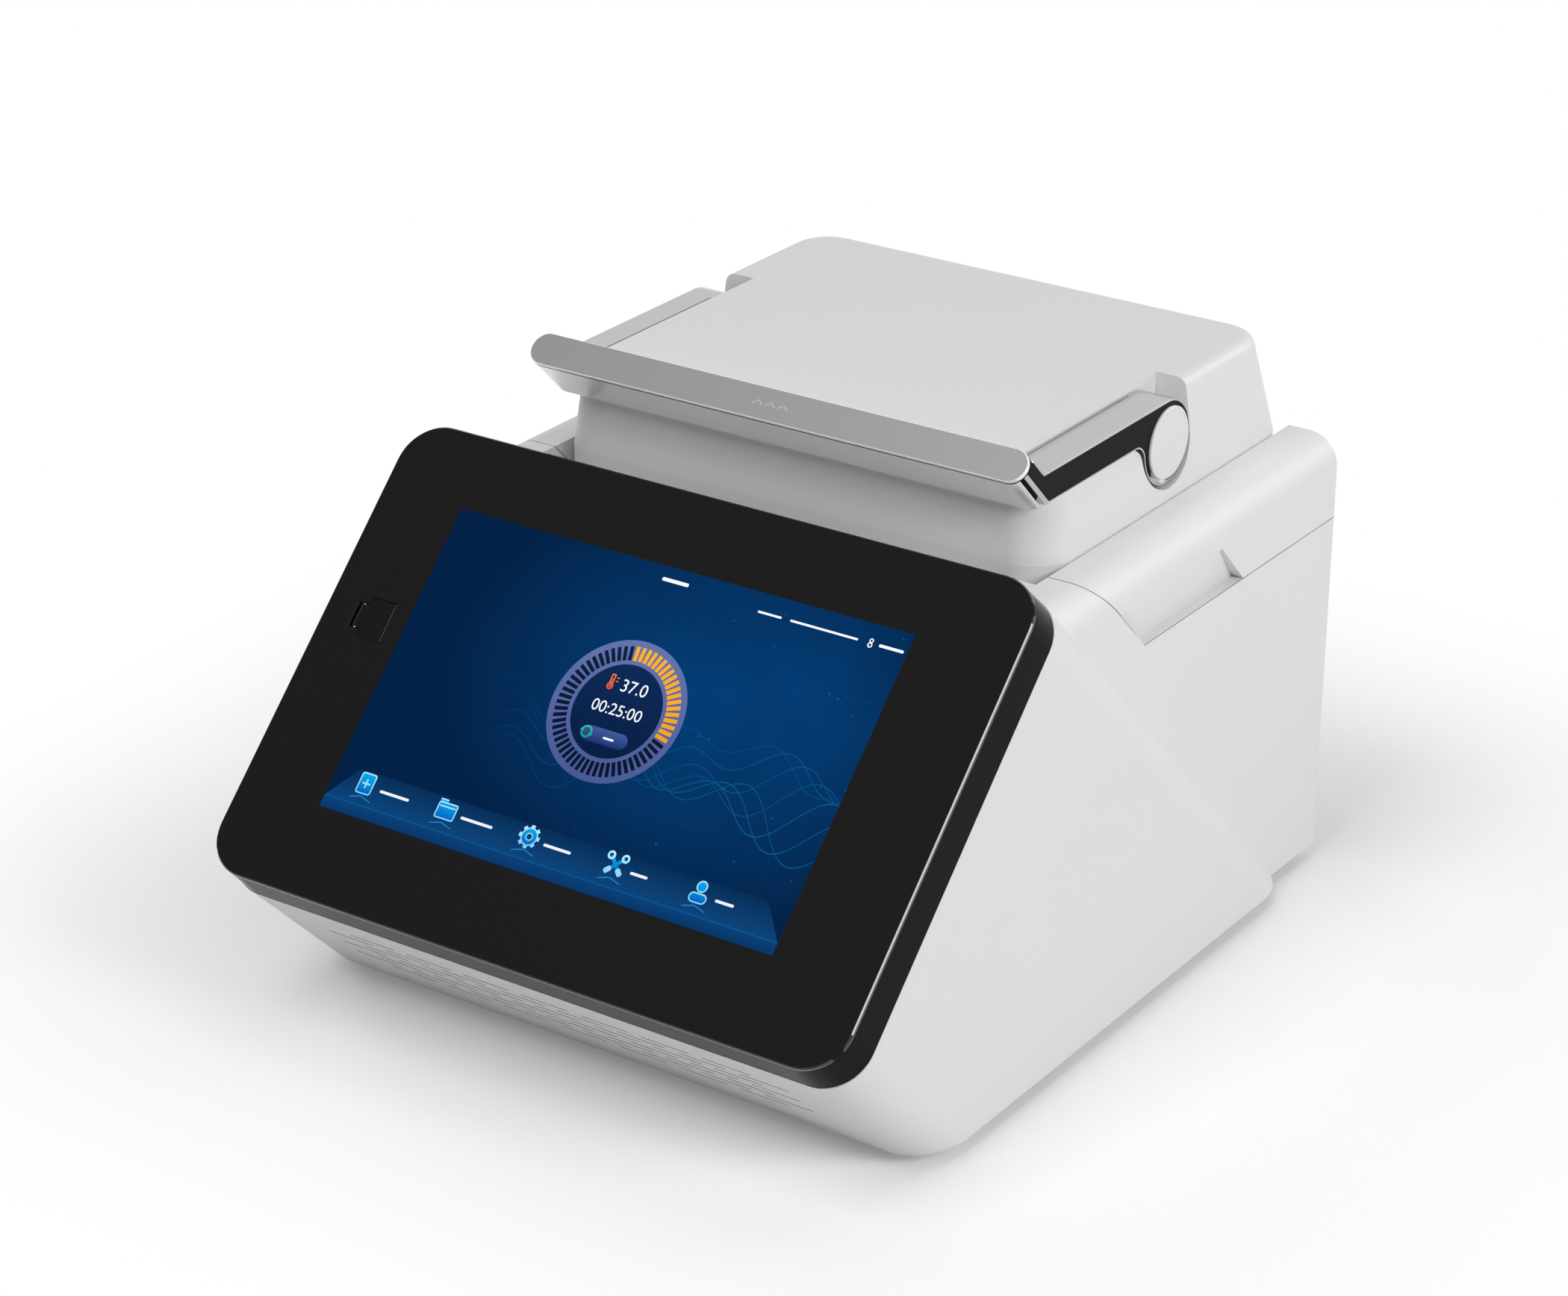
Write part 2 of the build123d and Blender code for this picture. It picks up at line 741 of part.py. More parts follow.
def lid_form(inset):
    top = lid_top_z - inset
    share = (top - lid_knee_z) / (lid_top_z - lid_knee_z)
    with BuildPart() as form:
        add(lid_section(lid_bottom_z, lid_half - inset, lid_front + inset, lid_rear - inset, lid_corner - inset))
        extrude(amount=lid_knee_z - lid_bottom_z)
        with BuildSketch(Plane.XY.offset(lid_knee_z)):
            add(lid_section(0, lid_half - inset, lid_front + inset, lid_rear - inset, lid_corner - inset))
        with BuildSketch(Plane.XY.offset(top)):
            add(lid_section(0, lid_half + (lid_top_wide / 2 - lid_half) * share - inset,
                            lid_front + lid_front_lean * share + inset,
                            lid_rear - lid_rear_lean * share - inset, lid_corner - inset))
        loft(ruled=True)
        if lid_top_round > inset:
            fillet(form.faces().sort_by(Axis.Z)[-1].edges(), lid_top_round - inset)
    return form.part


def arm_outline(radius, floor, top, front, swell):
    """The side view of an arm: a straight bar that swells down into a round head at the pivot."""
    with BuildSketch() as outline:
        with Locations((pivot_y, pivot_z)):
            Circle(radius)
        with BuildSketch(mode=Mode.PRIVATE) as bar:
            Polygon((front, floor), (pivot_y, floor), (pivot_y, top), (front, top), align=None)
        add(bar.sketch)
        neck = outline.vertices().filter_by(lambda p: abs(p.Y - floor) < 0.01 and p.X > front + 1)
        fillet(neck, swell)
    return outline.sketch


pocket_radius = arm_head_radius + head_gap
channel_floor = pivot_z + arm_drop - arm_gap
channel_inner = arm_inner_x - arm_gap


def channel_form(grow):
    """The open channel for one arm, mirrored to both sides."""
    with BuildPart() as form:
        with BuildSketch(Plane.YZ.offset(channel_inner - grow)):
            add(arm_outline(pocket_radius + grow, channel_floor - grow, lid_top_z + wall, lid_front - wall,
                            arm_swell))
            with Locations((pivot_y, pivot_z)):
                Rectangle(2 * (pocket_radius + grow), lid_top_z + wall - pivot_z,
                          align=(Align.CENTER, Align.MIN))
        extrude(amount=lid_half - channel_inner + grow + wall)
        mirror(about=Plane.YZ)
    return form.part


with BuildPart() as lid_hollow:
    add(lid_form(lid_wall))
    add(channel_form(lid_wall), mode=Mode.SUBTRACT)

boss_radius = 4.0
lid_screw_radius = 1.6
lid_screw_long = 12.0
boss_x = 88.0
boss_front_y = 14.0
boss_rear_y = 142.0
lid_frame_z = base_z + lid_frame_high
frame_top_z = lid_frame_z + lid_frame_thick
with BuildPart() as lid_shell:
    add(lid_form(0))
    add(channel_form(0), mode=Mode.SUBTRACT)
    add(lid_hollow.part, mode=Mode.SUBTRACT)
    # Bosses that the inner frame is screwed to
    with BuildSketch(Plane.XY.offset(frame_top_z)):
        for boss_y in (boss_front_y, boss_rear_y):
            with Locations((-boss_x, boss_y), (boss_x, boss_y)):
                Circle(boss_radius)
    extrude(amount=lid_top_z - lid_wall - frame_top_z)
    with BuildSketch(Plane.XY.offset(frame_top_z)):
        for boss_y in (boss_front_y, boss_rear_y):
            with Locations((-boss_x, boss_y), (boss_x, boss_y)):
                Circle(lid_screw_radius)
    extrude(amount=lid_screw_long - lid_frame_thick, mode=Mode.SUBTRACT)
    # Bores for the lever's bushes, and slots in the back wall for the hinge plates
    with BuildSketch(Plane.YZ):
        with Locations((pivot_y, pivot_z)):
            Circle(bush_radius)
    extrude(amount=channel_inner + 0.01, both=True, mode=Mode.SUBTRACT)
    with BuildSketch(Plane.XZ.offset(-rear_y)):
        with Locations((-hinge_x, lid_bottom_z), (hinge_x, lid_bottom_z)):
            Rectangle(hinge_slot_wide, hinge_slot_high, align=(Align.CENTER, Align.MIN))
    extrude(amount=10, mode=Mode.SUBTRACT)
lid_shell.part.label = "lid_shell"
export_step(lid_shell.part, "parts/lid_shell.step")

# Liner: closes the lid underneath, with a window for the heated plate and slots for the hooks
liner_window_wide = heater_wide + 2
liner_window_deep = heater_deep + 2
with BuildPart() as lid_liner:
    add(lid_form(lid_wall))
    split(bisect_by=Plane.XY.offset(lid_floor_z), keep=Keep.BOTTOM)
    split(bisect_by=Plane.XZ.offset(-liner_rear), keep=Keep.TOP)
    with BuildSketch(Plane.XY.offset(lid_bottom_z)):
        with Locations((0, block_y)):
            Rectangle(liner_window_wide, liner_window_deep)
        with Locations((-hook_x, hook_slot_y), (hook_x, hook_slot_y)):
            Rectangle(hook_slot_wide, hook_slot_deep)
    extrude(amount=liner_thick, mode=Mode.SUBTRACT)
lid_liner.part.label = "lid_liner"
export_step(lid_liner.part, "parts/lid_liner.step")

# Inner frame of the lid: a steel plate with hinge lugs, carried on the shell's bosses
lug_radius = 8.0
lug_thick = 4.0
lug_gap = 0.5
cam_window_wide = 16.0
cam_window_deep = 26.0
lid_frame_front = 8.0
lid_frame_rear = 162.0
heater_z = base_z + heater_high
with BuildPart() as lid_frame:
    with BuildSketch(Plane.XY.offset(lid_frame_z)):
        with Locations((0, (lid_frame_front + lid_frame_rear) / 2)):
            Rectangle(2 * (channel_inner - lid_wall) - 1, lid_frame_rear - lid_frame_front)
        with Locations((0, block_y)):
            with GridLocations(2 * post_x, 2 * post_y, 2, 2):
                Circle(post_radius + running_gap, mode=Mode.SUBTRACT)
        with Locations((-cam_x, pivot_y), (cam_x, pivot_y)):
            Rectangle(cam_window_wide, cam_window_deep, mode=Mode.SUBTRACT)
        with Locations((-hook_x, hook_slot_y), (hook_x, hook_slot_y)):
            Rectangle(hook_slot_wide, hook_slot_deep, mode=Mode.SUBTRACT)
        for boss_y in (boss_front_y, boss_rear_y):
            with Locations((-boss_x, boss_y), (boss_x, boss_y)):
                Circle(lid_screw_radius, mode=Mode.SUBTRACT)
    extrude(amount=lid_frame_thick)
    for lug_x in (-hinge_x, hinge_x):
        for lug_side in (-1, 1):
            inner = hinge_plate_wide / 2 + lug_gap
            lug_plane = Plane.YZ.offset(lug_x + lug_side * inner)
            with BuildSketch(lug_plane):
                with BuildLine():
                    Polyline(
                        (lid_frame_rear - 20, lid_frame_z + lid_frame_thick),
                        (lid_frame_rear - 20, lid_frame_z),
                        (hinge_axis_y - lug_radius, hinge_z - 2),
                        (hinge_axis_y, hinge_z - lug_radius),
                        (hinge_axis_y + lug_radius, hinge_z),
                        (hinge_axis_y + lug_radius, hinge_z + 4),
                        (lid_frame_rear + 10, lid_frame_z + lid_frame_thick),
                        close=True,
                    )
                make_face()
                with Locations((hinge_axis_y, hinge_z)):
                    Circle(hinge_pin_radius, mode=Mode.SUBTRACT)
            extrude(amount=lug_side * lug_thick)
lid_frame.part.label = "lid_frame"
export_step(lid_frame.part, "parts/lid_frame.step")

# Hinge pins, pressed into the lid's lugs
pin_long = hinge_plate_wide + 2 * (lug_gap + lug_thick) + 3
with BuildPart() as hinge_pins:
    for lug_x in (-hinge_x, hinge_x):
        with BuildSketch(Plane.YZ.offset(lug_x - pin_long / 2)):
            with Locations((hinge_axis_y, hinge_z)):
                Circle(hinge_pin_radius)
        extrude(amount=pin_long)
hinge_pins.part.label = "hinge_pins"
export_step(hinge_pins.part, "parts/hinge_pins.step")

# Hinge brackets: upright plates on feet in the hinge well
bracket_foot_deep = 24.0
with BuildPart() as hinge_brackets:
    for plate_x in (-hinge_x, hinge_x):
        with BuildSketch(Plane.YZ.offset(plate_x - hinge_plate_wide / 2)):
            with Locations((hinge_axis_y, hinge_z)):
                Circle(lug_radius)
            with Locations((hinge_axis_y, hinge_floor_z)):
                Rectangle(14, hinge_z - hinge_floor_z, align=(Align.CENTER, Align.MIN))
                Rectangle(bracket_foot_deep, 2, align=(Align.CENTER, Align.MIN))
            with Locations((hinge_axis_y, hinge_z)):
                Circle(hinge_pin_radius + running_gap, mode=Mode.SUBTRACT)
        extrude(amount=hinge_plate_wide)
hinge_brackets.part.label = "hinge_brackets"
export_step(hinge_brackets.part, "parts/hinge_brackets.step")

# Flanged bushes that carry the lever's shaft in the channel walls
with BuildPart() as lever_bushes:
    with BuildSketch(Plane.YZ.offset(channel_inner - lid_wall)):
        with Locations((pivot_y, pivot_z)):
            Circle(bush_radius)
            Circle(shaft_radius + running_gap, mode=Mode.SUBTRACT)
    extrude(amount=lid_wall)
    with BuildSketch(Plane.YZ.offset(channel_inner - lid_wall)):
        with Locations((pivot_y, pivot_z)):
            Circle(bush_flange)
            Circle(shaft_radius + running_gap, mode=Mode.SUBTRACT)
    extrude(amount=-1.5)
    mirror(about=Plane.YZ)
lever_bushes.part.label = "lever_bushes"
export_step(lever_bushes.part, "parts/lever_bushes.step")

# The grip plate leans like the display, high over the lid's front edge
plate_z = base_z + plate_high
plate_plane = Plane(origin=(0, plate_y, plate_z), x_dir=(1, 0, 0), z_dir=face_normal)
with BuildPart() as grip_plate:
    with BuildSketch(plate_plane):
        SlotOverall(plate_long, plate_wide)
    extrude(amount=-plate_thick)
grip_plate.part.label = "grip_plate"
export_step(grip_plate.part, "parts/grip_plate.step")


def plate_point(across, below):
    """A (y, z) point given up the grip plate from its middle line and square below its top."""
    return (plate_y + across * tilt_cos + below * tilt_sin, plate_z + across * tilt_sin - below * tilt_cos)


# Grip bar: a skin under the plate's front edge, backed by a box between the arms
half_plate = plate_wide / 2
bar_foot_z = base_z + bar_foot_high
skin_deep = (plate_point(-half_plate, 0)[1] - bar_foot_z) / tilt_cos
bar_back_y = lid_front - 2.0
under_front = plate_point(-half_plate, plate_thick)
foot_front = plate_point(-half_plate, skin_deep)
foot_back = plate_point(bar_skin - half_plate, skin_deep)
skin_back = plate_point(bar_skin - half_plate, plate_thick)
under_back = plate_point(half_plate, plate_thick)
back_deep = (bar_back_y - plate_y - half_plate * tilt_cos) / tilt_sin
lean_low = arm_front_set + bar_skin - half_plate
arm_seat_high = plate_point(lean_low, plate_thick)
arm_seat_low = plate_point(lean_low, skin_deep - bar_skin)
arm_rise = half_plate - arm_rise_set
with BuildPart() as grip_bar:
    with BuildSketch(plate_plane.offset(-plate_thick)):
        SlotOverall(plate_long, plate_wide)
        with Locations((0, -half_plate)):
            Rectangle(plate_long, bar_skin, align=(Align.CENTER, Align.MIN), mode=Mode.INTERSECT)
    extrude(amount=plate_thick - skin_deep)
    with BuildSketch(Plane.YZ):
        Polygon(under_front, foot_front, (bar_back_y, foot_front[1]), plate_point(half_plate, back_deep),
                under_back, align=None)
    extrude(amount=arm_inner_x, both=True)
    # Filling between the skin and the front of each arm
    with BuildSketch(Plane.YZ):
        Polygon(skin_back, arm_seat_high, arm_seat_low, foot_back, align=None)
    extrude(amount=arm_outer_x - bar_end_set, both=True)
grip_bar.part.label = "grip_bar"
export_step(grip_bar.part, "parts/grip_bar.step")

# Lever arms with their black inserts
arm_floor = pivot_z + arm_drop
arm_top = pivot_z + arm_head_radius


def arm_side(inset, lead):
    """An arm's side view, drawn in by an inset and a lead at its front, which rises square to the plate."""
    low = plate_point(lean_low + lead, plate_thick + inset)
    high = plate_point(arm_rise - inset, plate_thick + inset)
    floor = arm_floor + inset
    top = arm_top - inset
    foot_y = low[0] + (low[1] - floor) * tilt_sin / tilt_cos
    shoulder_y = high[0] + (high[1] - top) * tilt_sin / tilt_cos
    with BuildSketch() as outline:
        with Locations((pivot_y, pivot_z)):
            Circle(arm_head_radius - inset)
        with BuildSketch(mode=Mode.PRIVATE) as bar:
            Polygon(low, (foot_y, floor), (pivot_y, floor), (pivot_y, top), (shoulder_y, top), high, align=None)
        add(bar.sketch)
        neck = outline.vertices().filter_by(lambda p: abs(p.Y - floor) < 0.01 and p.X > foot_y + 1)
        fillet(neck, arm_swell + inset)
        elbow = outline.vertices().filter_by(lambda p: abs(p.Y - top) < 0.01 and abs(p.X - shoulder_y) < 0.01)
        fillet(elbow, arm_elbow + inset)
    return outline.sketch


# What stands past the grip plate's round ends is trimmed off the arms close behind it
with BuildPart() as seat_trim:
    with BuildSketch(plate_plane.offset(-plate_thick)):
        Rectangle(plate_long, 2 * plate_wide)
        SlotOverall(plate_long, plate_wide, mode=Mode.SUBTRACT)
    extrude(amount=-arm_seat_deep)

for side, name in ((-1, "left"), (1, "right")):
    with BuildPart() as lever_arm:
        with BuildSketch(Plane.YZ.offset(side * arm_inner_x)):
            add(arm_side(0, 0))
            with Locations((pivot_y, pivot_z)):
                Circle(shaft_radius, mode=Mode.SUBTRACT)
        extrude(amount=side * (arm_outer_x - arm_inner_x))
        with BuildSketch(Plane.YZ.offset(side * arm_outer_x)):
            add(arm_side(insert_margin, insert_lead))
        extrude(amount=-side * insert_thick, mode=Mode.SUBTRACT)
        add(seat_trim.part, mode=Mode.SUBTRACT)
    lever_arm.part.label = f"lever_arm_{name}"
    export_step(lever_arm.part, f"parts/lever_arm_{name}.step")

    with BuildPart() as arm_insert:
        with BuildSketch(Plane.YZ.offset(side * (arm_outer_x - insert_thick))):
            add(arm_side(insert_margin, insert_lead))
            with Locations((pivot_y, pivot_z)):
                Circle(cap_radius + 0.1, mode=Mode.SUBTRACT)
                Rectangle(26, 20, align=(Align.CENTER, Align.MAX), mode=Mode.SUBTRACT)
        extrude(amount=side * (insert_thick + insert_proud))
        add(seat_trim.part, mode=Mode.SUBTRACT)
    arm_insert.part.label = f"arm_insert_{name}"
    export_step(arm_insert.part, f"parts/arm_insert_{name}.step")

# White caps over the pivots
with BuildPart() as pivot_caps:
    for side in (-1, 1):
        with BuildSketch(Plane.YZ.offset(side * (arm_outer_x - insert_thick))):
            with Locations((pivot_y, pivot_z)):
                Circle(cap_radius)
        extrude(amount=side * cap_thick)
    chamfer(pivot_caps.edges().filter_by(lambda e: abs(e.center().X) > arm_outer_x + 1), 0.4)
pivot_caps.part.label = "pivot_caps"
export_step(pivot_caps.part, "parts/pivot_caps.step")

# Shaft, press cams and latch hooks that turn with the lever
with BuildPart() as lever_shaft:
    with BuildSketch(Plane.YZ.offset(-arm_outer_x + insert_thick)):
        with Locations((pivot_y, pivot_z)):
            Circle(shaft_radius)
    extrude(amount=2 * (arm_outer_x - insert_thick))
lever_shaft.part.label = "lever_shaft"
export_step(lever_shaft.part, "parts/lever_shaft.step")

cam_hub_radius = shaft_radius + 1.0
cam_tip_y = pivot_y - cam_throw * sin(radians(cam_phase))
cam_tip_z = pivot_z - cam_throw * cos(radians(cam_phase))
cam_reach = cam_throw * cos(radians(cam_phase)) + cam_tip_radius
with BuildPart() as press_cams:
    for cam_side in (-cam_x, cam_x):
        with BuildSketch(Plane.YZ.offset(cam_side - cam_thick / 2)):
            with BuildSketch(mode=Mode.PRIVATE) as lobes:
                with Locations((pivot_y, pivot_z)):
                    Circle(cam_hub_radius)
                with Locations((cam_tip_y, cam_tip_z)):
                    Circle(cam_tip_radius)
            make_hull(lobes.edges())
            with Locations((pivot_y, pivot_z)):
                Circle(shaft_radius, mode=Mode.SUBTRACT)
        extrude(amount=cam_thick)
press_cams.part.label = "press_cams"
export_step(press_cams.part, "parts/press_cams.step")

hook_bar = 8.0
with BuildPart() as latch_hooks:
    for hook_side in (-hook_x, hook_x):
        with BuildSketch(Plane.YZ.offset(hook_side - hook_thick / 2)):
            with Locations((pivot_y, pivot_z)):
                Circle(shaft_radius + 4)
                Rectangle(hook_bar, hook_reach, align=(Align.CENTER, Align.MAX))
            Polygon(
                (pivot_y, pivot_z - hook_reach),
                (pivot_y + hook_bar / 2 + hook_nose - 2, pivot_z - hook_reach),
                (pivot_y + hook_bar / 2 + hook_nose, pivot_z - hook_reach + 3),
                (pivot_y + hook_bar / 2, pivot_z - hook_reach + 5),
                (pivot_y, pivot_z - hook_reach + 5),
                align=None,
            )
            with Locations((pivot_y, pivot_z)):
                Circle(shaft_radius, mode=Mode.SUBTRACT)
        extrude(amount=hook_thick)
latch_hooks.part.label = "latch_hooks"
export_step(latch_hooks.part, "parts/latch_hooks.step")

# Keeper blocks under the deck, just behind the hooks' noses
keeper_gap = 0.4
keeper_front = pivot_y + hook_bar / 2 + hook_nose + keeper_gap
with BuildPart() as latch_keepers:
    for keeper_side in (-hook_x, hook_x):
        with BuildSketch(Plane.YZ.offset(keeper_side - 8)):
            Polygon(
                (keeper_front, deck_z - deck_thick),
                (keeper_front, deck_z - deck_thick - 3),
                (keeper_front + 3, deck_z - deck_thick - 3),
                (keeper_front + 3, deck_z - deck_thick - 12),
                (keeper_front + 8, deck_z - deck_thick - 12),
                (keeper_front + 18, deck_z - deck_thick),
                align=None,
            )
        extrude(amount=16)
latch_keepers.part.label = "latch_keepers"
export_step(latch_keepers.part, "parts/latch_keepers.step")

# Heated plate: aluminium plate, heater film, and the carrier that the cams press down
carrier_z = heater_z + heater_thick + film_thick
pad_top_z = pivot_z - cam_reach - 0.3
with BuildPart() as heater_plate:
    with BuildSketch(Plane.XY.offset(heater_z)):
        with Locations((0, block_y)):
            RectangleRounded(heater_wide, heater_deep, 4)
    extrude(amount=heater_thick)
heater_plate.part.label = "heater_plate"
export_step(heater_plate.part, "parts/heater_plate.step")

with BuildPart() as heater_film:
    with BuildSketch(Plane.XY.offset(heater_z + heater_thick)):
        with Locations((0, block_y)):
            Rectangle(heater_wide - 8, heater_deep - 8)
    extrude(amount=film_thick)
heater_film.part.label = "heater_film"
export_step(heater_film.part, "parts/heater_film.step")

with BuildPart() as plate_carrier:
    with BuildSketch(Plane.XY.offset(carrier_z)):
        with Locations((0, block_y)):
            Rectangle(heater_wide, heater_deep)
    extrude(amount=carrier_thick)
    with BuildSketch(Plane.XY.offset(carrier_z)):
        with Locations((-cam_x, pivot_y - 3), (cam_x, pivot_y - 3)):
            Rectangle(cam_thick + 3, 18)
    extrude(amount=pad_top_z - carrier_z)
plate_carrier.part.label = "plate_carrier"
export_step(plate_carrier.part, "parts/plate_carrier.step")

# Guide posts rise from the carrier through the frame, with lift springs under their heads
post_head_z = pivot_z + 5.0
head_thick = 3.0
with BuildPart() as guide_posts:
    with BuildSketch(Plane.XY.offset(carrier_z + carrier_thick)):
        with Locations((0, block_y)):
            with GridLocations(2 * post_x, 2 * post_y, 2, 2):
                Circle(post_radius)
    extrude(amount=post_head_z - carrier_z - carrier_thick)
    with BuildSketch(Plane.XY.offset(post_head_z)):
        with Locations((0, block_y)):
            with GridLocations(2 * post_x, 2 * post_y, 2, 2):
                Circle(post_radius + 3)
    extrude(amount=head_thick)
guide_posts.part.label = "guide_posts"
export_step(guide_posts.part, "parts/guide_posts.step")

spring_long = post_head_z - frame_top_z
spring_pitch = 3.4
spring_radius = post_radius + spring_wire
with BuildPart() as lift_springs:
    with BuildLine():
        coil = Helix(spring_pitch, spring_long - spring_wire, spring_radius,
                     center=(post_x, block_y + post_y, frame_top_z + spring_wire / 2))
    with BuildSketch(Plane(origin=coil @ 0, z_dir=coil % 0)):
        RegularPolygon(spring_wire / 2, 6)
    sweep(is_frenet=True)
    mirror(about=Plane.YZ)
    mirror(about=Plane.XZ.offset(-block_y))
lift_springs.part.label = "lift_springs"
export_step(lift_springs.part, "parts/lift_springs.step")

# Screws that hold the lid's frame to the shell
with BuildPart() as lid_screws:
    for boss_y in (boss_front_y, boss_rear_y):
        for boss_side in (-boss_x, boss_x):
            with BuildSketch(Plane.XY.offset(lid_frame_z)):
                with Locations((boss_side, boss_y)):
                    Circle(lid_screw_radius)
            extrude(amount=lid_screw_long)
            with BuildSketch(Plane.XY.offset(lid_frame_z)):
                with Locations((boss_side, boss_y)):
                    Circle(2 * lid_screw_radius)
            extrude(amount=-lid_screw_radius)
lid_screws.part.label = "lid_screws"
export_step(lid_screws.part, "parts/lid_screws.step")

# Screws up through the base pan into the housing's bosses
with BuildPart() as case_screws:
    for place in case_screw_places:
        with BuildSketch(Plane.XY.offset(base_z)):
            with Locations(place):
                Circle(case_screw_radius)
        extrude(amount=case_boss_high)
        with BuildSketch(Plane.XY.offset(base_z)):
            with Locations(place):
                Circle(2 * case_screw_radius)
        extrude(amount=-case_screw_radius)
case_screws.part.label = "case_screws"
export_step(case_screws.part, "parts/case_screws.step")

# Fans: square frames with a struts-held motor, screwed to the rear panel
strut_thick = 4.0
fan_front_y = panel_y - fan_thick
with BuildPart() as fan_frames:
    for fan_side in (-fan_x, fan_x):
        with BuildSketch(Plane.XZ.offset(-panel_y)):
            with Locations((fan_side, fan_z)):
                RectangleRounded(fan_size, fan_size, 4)
                Circle(fan_bore_radius, mode=Mode.SUBTRACT)
                with GridLocations(fan_hole_pitch, fan_hole_pitch, 2, 2):
                    Circle(fan_screw_radius, mode=Mode.SUBTRACT)
        extrude(amount=fan_thick)
        with BuildSketch(Plane.XZ.offset(-panel_y)):
            with Locations((fan_side, fan_z)):
                Circle(fan_hub_radius)
                Rectangle(2 * fan_bore_radius + 1, 4)
                Rectangle(4, 2 * fan_bore_radius + 1)
                Circle(rotor_shaft_radius + running_gap, mode=Mode.SUBTRACT)
        extrude(amount=strut_thick)
fan_frames.part.label = "fan_frames"
export_step(fan_frames.part, "parts/fan_frames.step")

with BuildPart() as fan_screws:
    for fan_side in (-fan_x, fan_x):
        with BuildSketch(Plane.XZ.offset(-panel_y - panel_thick)):
            with Locations((fan_side, fan_z)):
                with GridLocations(fan_hole_pitch, fan_hole_pitch, 2, 2):
                    Circle(fan_screw_radius)
        extrude(amount=12)
        with BuildSketch(Plane.XZ.offset(-panel_y - panel_thick)):
            with Locations((fan_side, fan_z)):
                with GridLocations(fan_hole_pitch, fan_hole_pitch, 2, 2):
                    Circle(2 * fan_screw_radius)
        extrude(amount=-fan_screw_radius)
fan_screws.part.label = "fan_screws"
export_step(fan_screws.part, "parts/fan_screws.step")

# Each rotor: a hub cup with pitched blades, on a shaft in the motor's bearing
blade_pitch = 38.0
blade_chord = 22.0
blade_thick = 1.5
rotor_gap = 1.0
for fan_side, name in ((-fan_x, "left"), (fan_x, "right")):
    with BuildPart() as fan_rotor:
        with BuildSketch(Plane.XZ.offset(-fan_front_y - rotor_gap)):
            with Locations((fan_side, fan_z)):
                Circle(fan_hub_radius)
        extrude(amount=rotor_gap + strut_thick + rotor_gap - fan_thick)
        with BuildSketch(Plane.XZ.offset(-fan_front_y - rotor_gap)):
            with Locations((fan_side, fan_z)):
                Circle(rotor_shaft_radius)
        extrude(amount=rotor_gap - fan_thick)
        for blade in range(blade_count):
            turn = 360 / blade_count * blade
            outward = Vector(cos(radians(turn)), 0, sin(radians(turn)))
            middle = Vector(fan_side, fan_front_y + rotor_gap + 9, fan_z)
            with BuildSketch(Plane(origin=middle + outward * (fan_hub_radius - 1), x_dir=(0, 1, 0), z_dir=outward)):
                Rectangle(blade_chord * 0.75, blade_thick, rotation=blade_pitch)
            extrude(amount=fan_bore_radius - fan_hub_radius - rotor_gap)
    fan_rotor.part.label = f"fan_rotor_{name}"
    export_step(fan_rotor.part, f"parts/fan_rotor_{name}.step")

# Duct from the fins to the fans
duct_front_y = block_y + sink_deep / 2
fin_foot_z = sink_under_z - fin_high


def duct_form(inset):
    with BuildPart() as form:
        with BuildSketch(Plane.XZ.offset(-duct_front_y)):
            with Locations((0, (fin_foot_z + sink_top_z) / 2)):
                Rectangle(sink_wide - 2 * inset, sink_top_z - fin_foot_z - 2 * inset)
        with BuildSketch(Plane.XZ.offset(-fan_front_y)):
            with Locations((0, fan_z)):
                Rectangle(2 * fan_x + fan_size - 2 * inset, fan_size - 2 * inset)
        loft()
    return form.part


with BuildPart() as air_duct:
    add(duct_form(0))
    add(duct_form(duct_wall), mode=Mode.SUBTRACT)
air_duct.part.label = "air_duct"
export_step(air_duct.part, "parts/air_duct.step")

# Power supply: a folded case with an open terminal end
supply_wide = 92.0
supply_deep = 150.0
supply_high = 42.0
supply_x = -34.0
supply_y = 88.0
with BuildPart() as power_supply:
    with BuildSketch(Plane.XY.offset(pan_top_z)):
        with Locations((supply_x, supply_y)):
            Rectangle(supply_wide, supply_deep)
    extrude(amount=supply_high)
    with BuildSketch(Plane.XY.offset(pan_top_z + supply_high)):
        with Locations((supply_x, supply_y + supply_deep / 2)):
            Rectangle(supply_wide - 4, 44)
    extrude(amount=10 - supply_high, mode=Mode.SUBTRACT)
    with BuildSketch(Plane.XY.offset(pan_top_z + supply_high)):
        with Locations((supply_x, supply_y - 12)):
            with GridLocations(18, 10, 4, 7):
                Rectangle(12, 4)
    extrude(amount=-1.5, mode=Mode.SUBTRACT)
power_supply.part.label = "power_supply"
export_step(power_supply.part, "parts/power_supply.step")

# Control board in the wedge and driver board beside the power supply, both on posts
post_high = 8.0
board_z = pan_top_z + post_high
main_board_y = -52.0
main_board_wide = 200.0
main_board_deep = 84.0
driver_x = 50.0
driver_y = 84.0
driver_wide = 62.0
driver_deep = 140.0
driver_pitch = 26.0
driver_size = 18.0
driver_high = 16.0
with BuildPart() as board_posts:
    with BuildSketch(Plane.XY.offset(pan_top_z)):
        with Locations((0, main_board_y)):
            with GridLocations(main_board_wide - 12, main_board_deep - 12, 2, 2):
                Circle(3)
        with Locations((driver_x, driver_y)):
            with GridLocations(driver_wide - 12, driver_deep - 12, 2, 2):
                Circle(3)
    extrude(amount=post_high)
board_posts.part.label = "board_posts"
export_step(board_posts.part, "parts/board_posts.step")

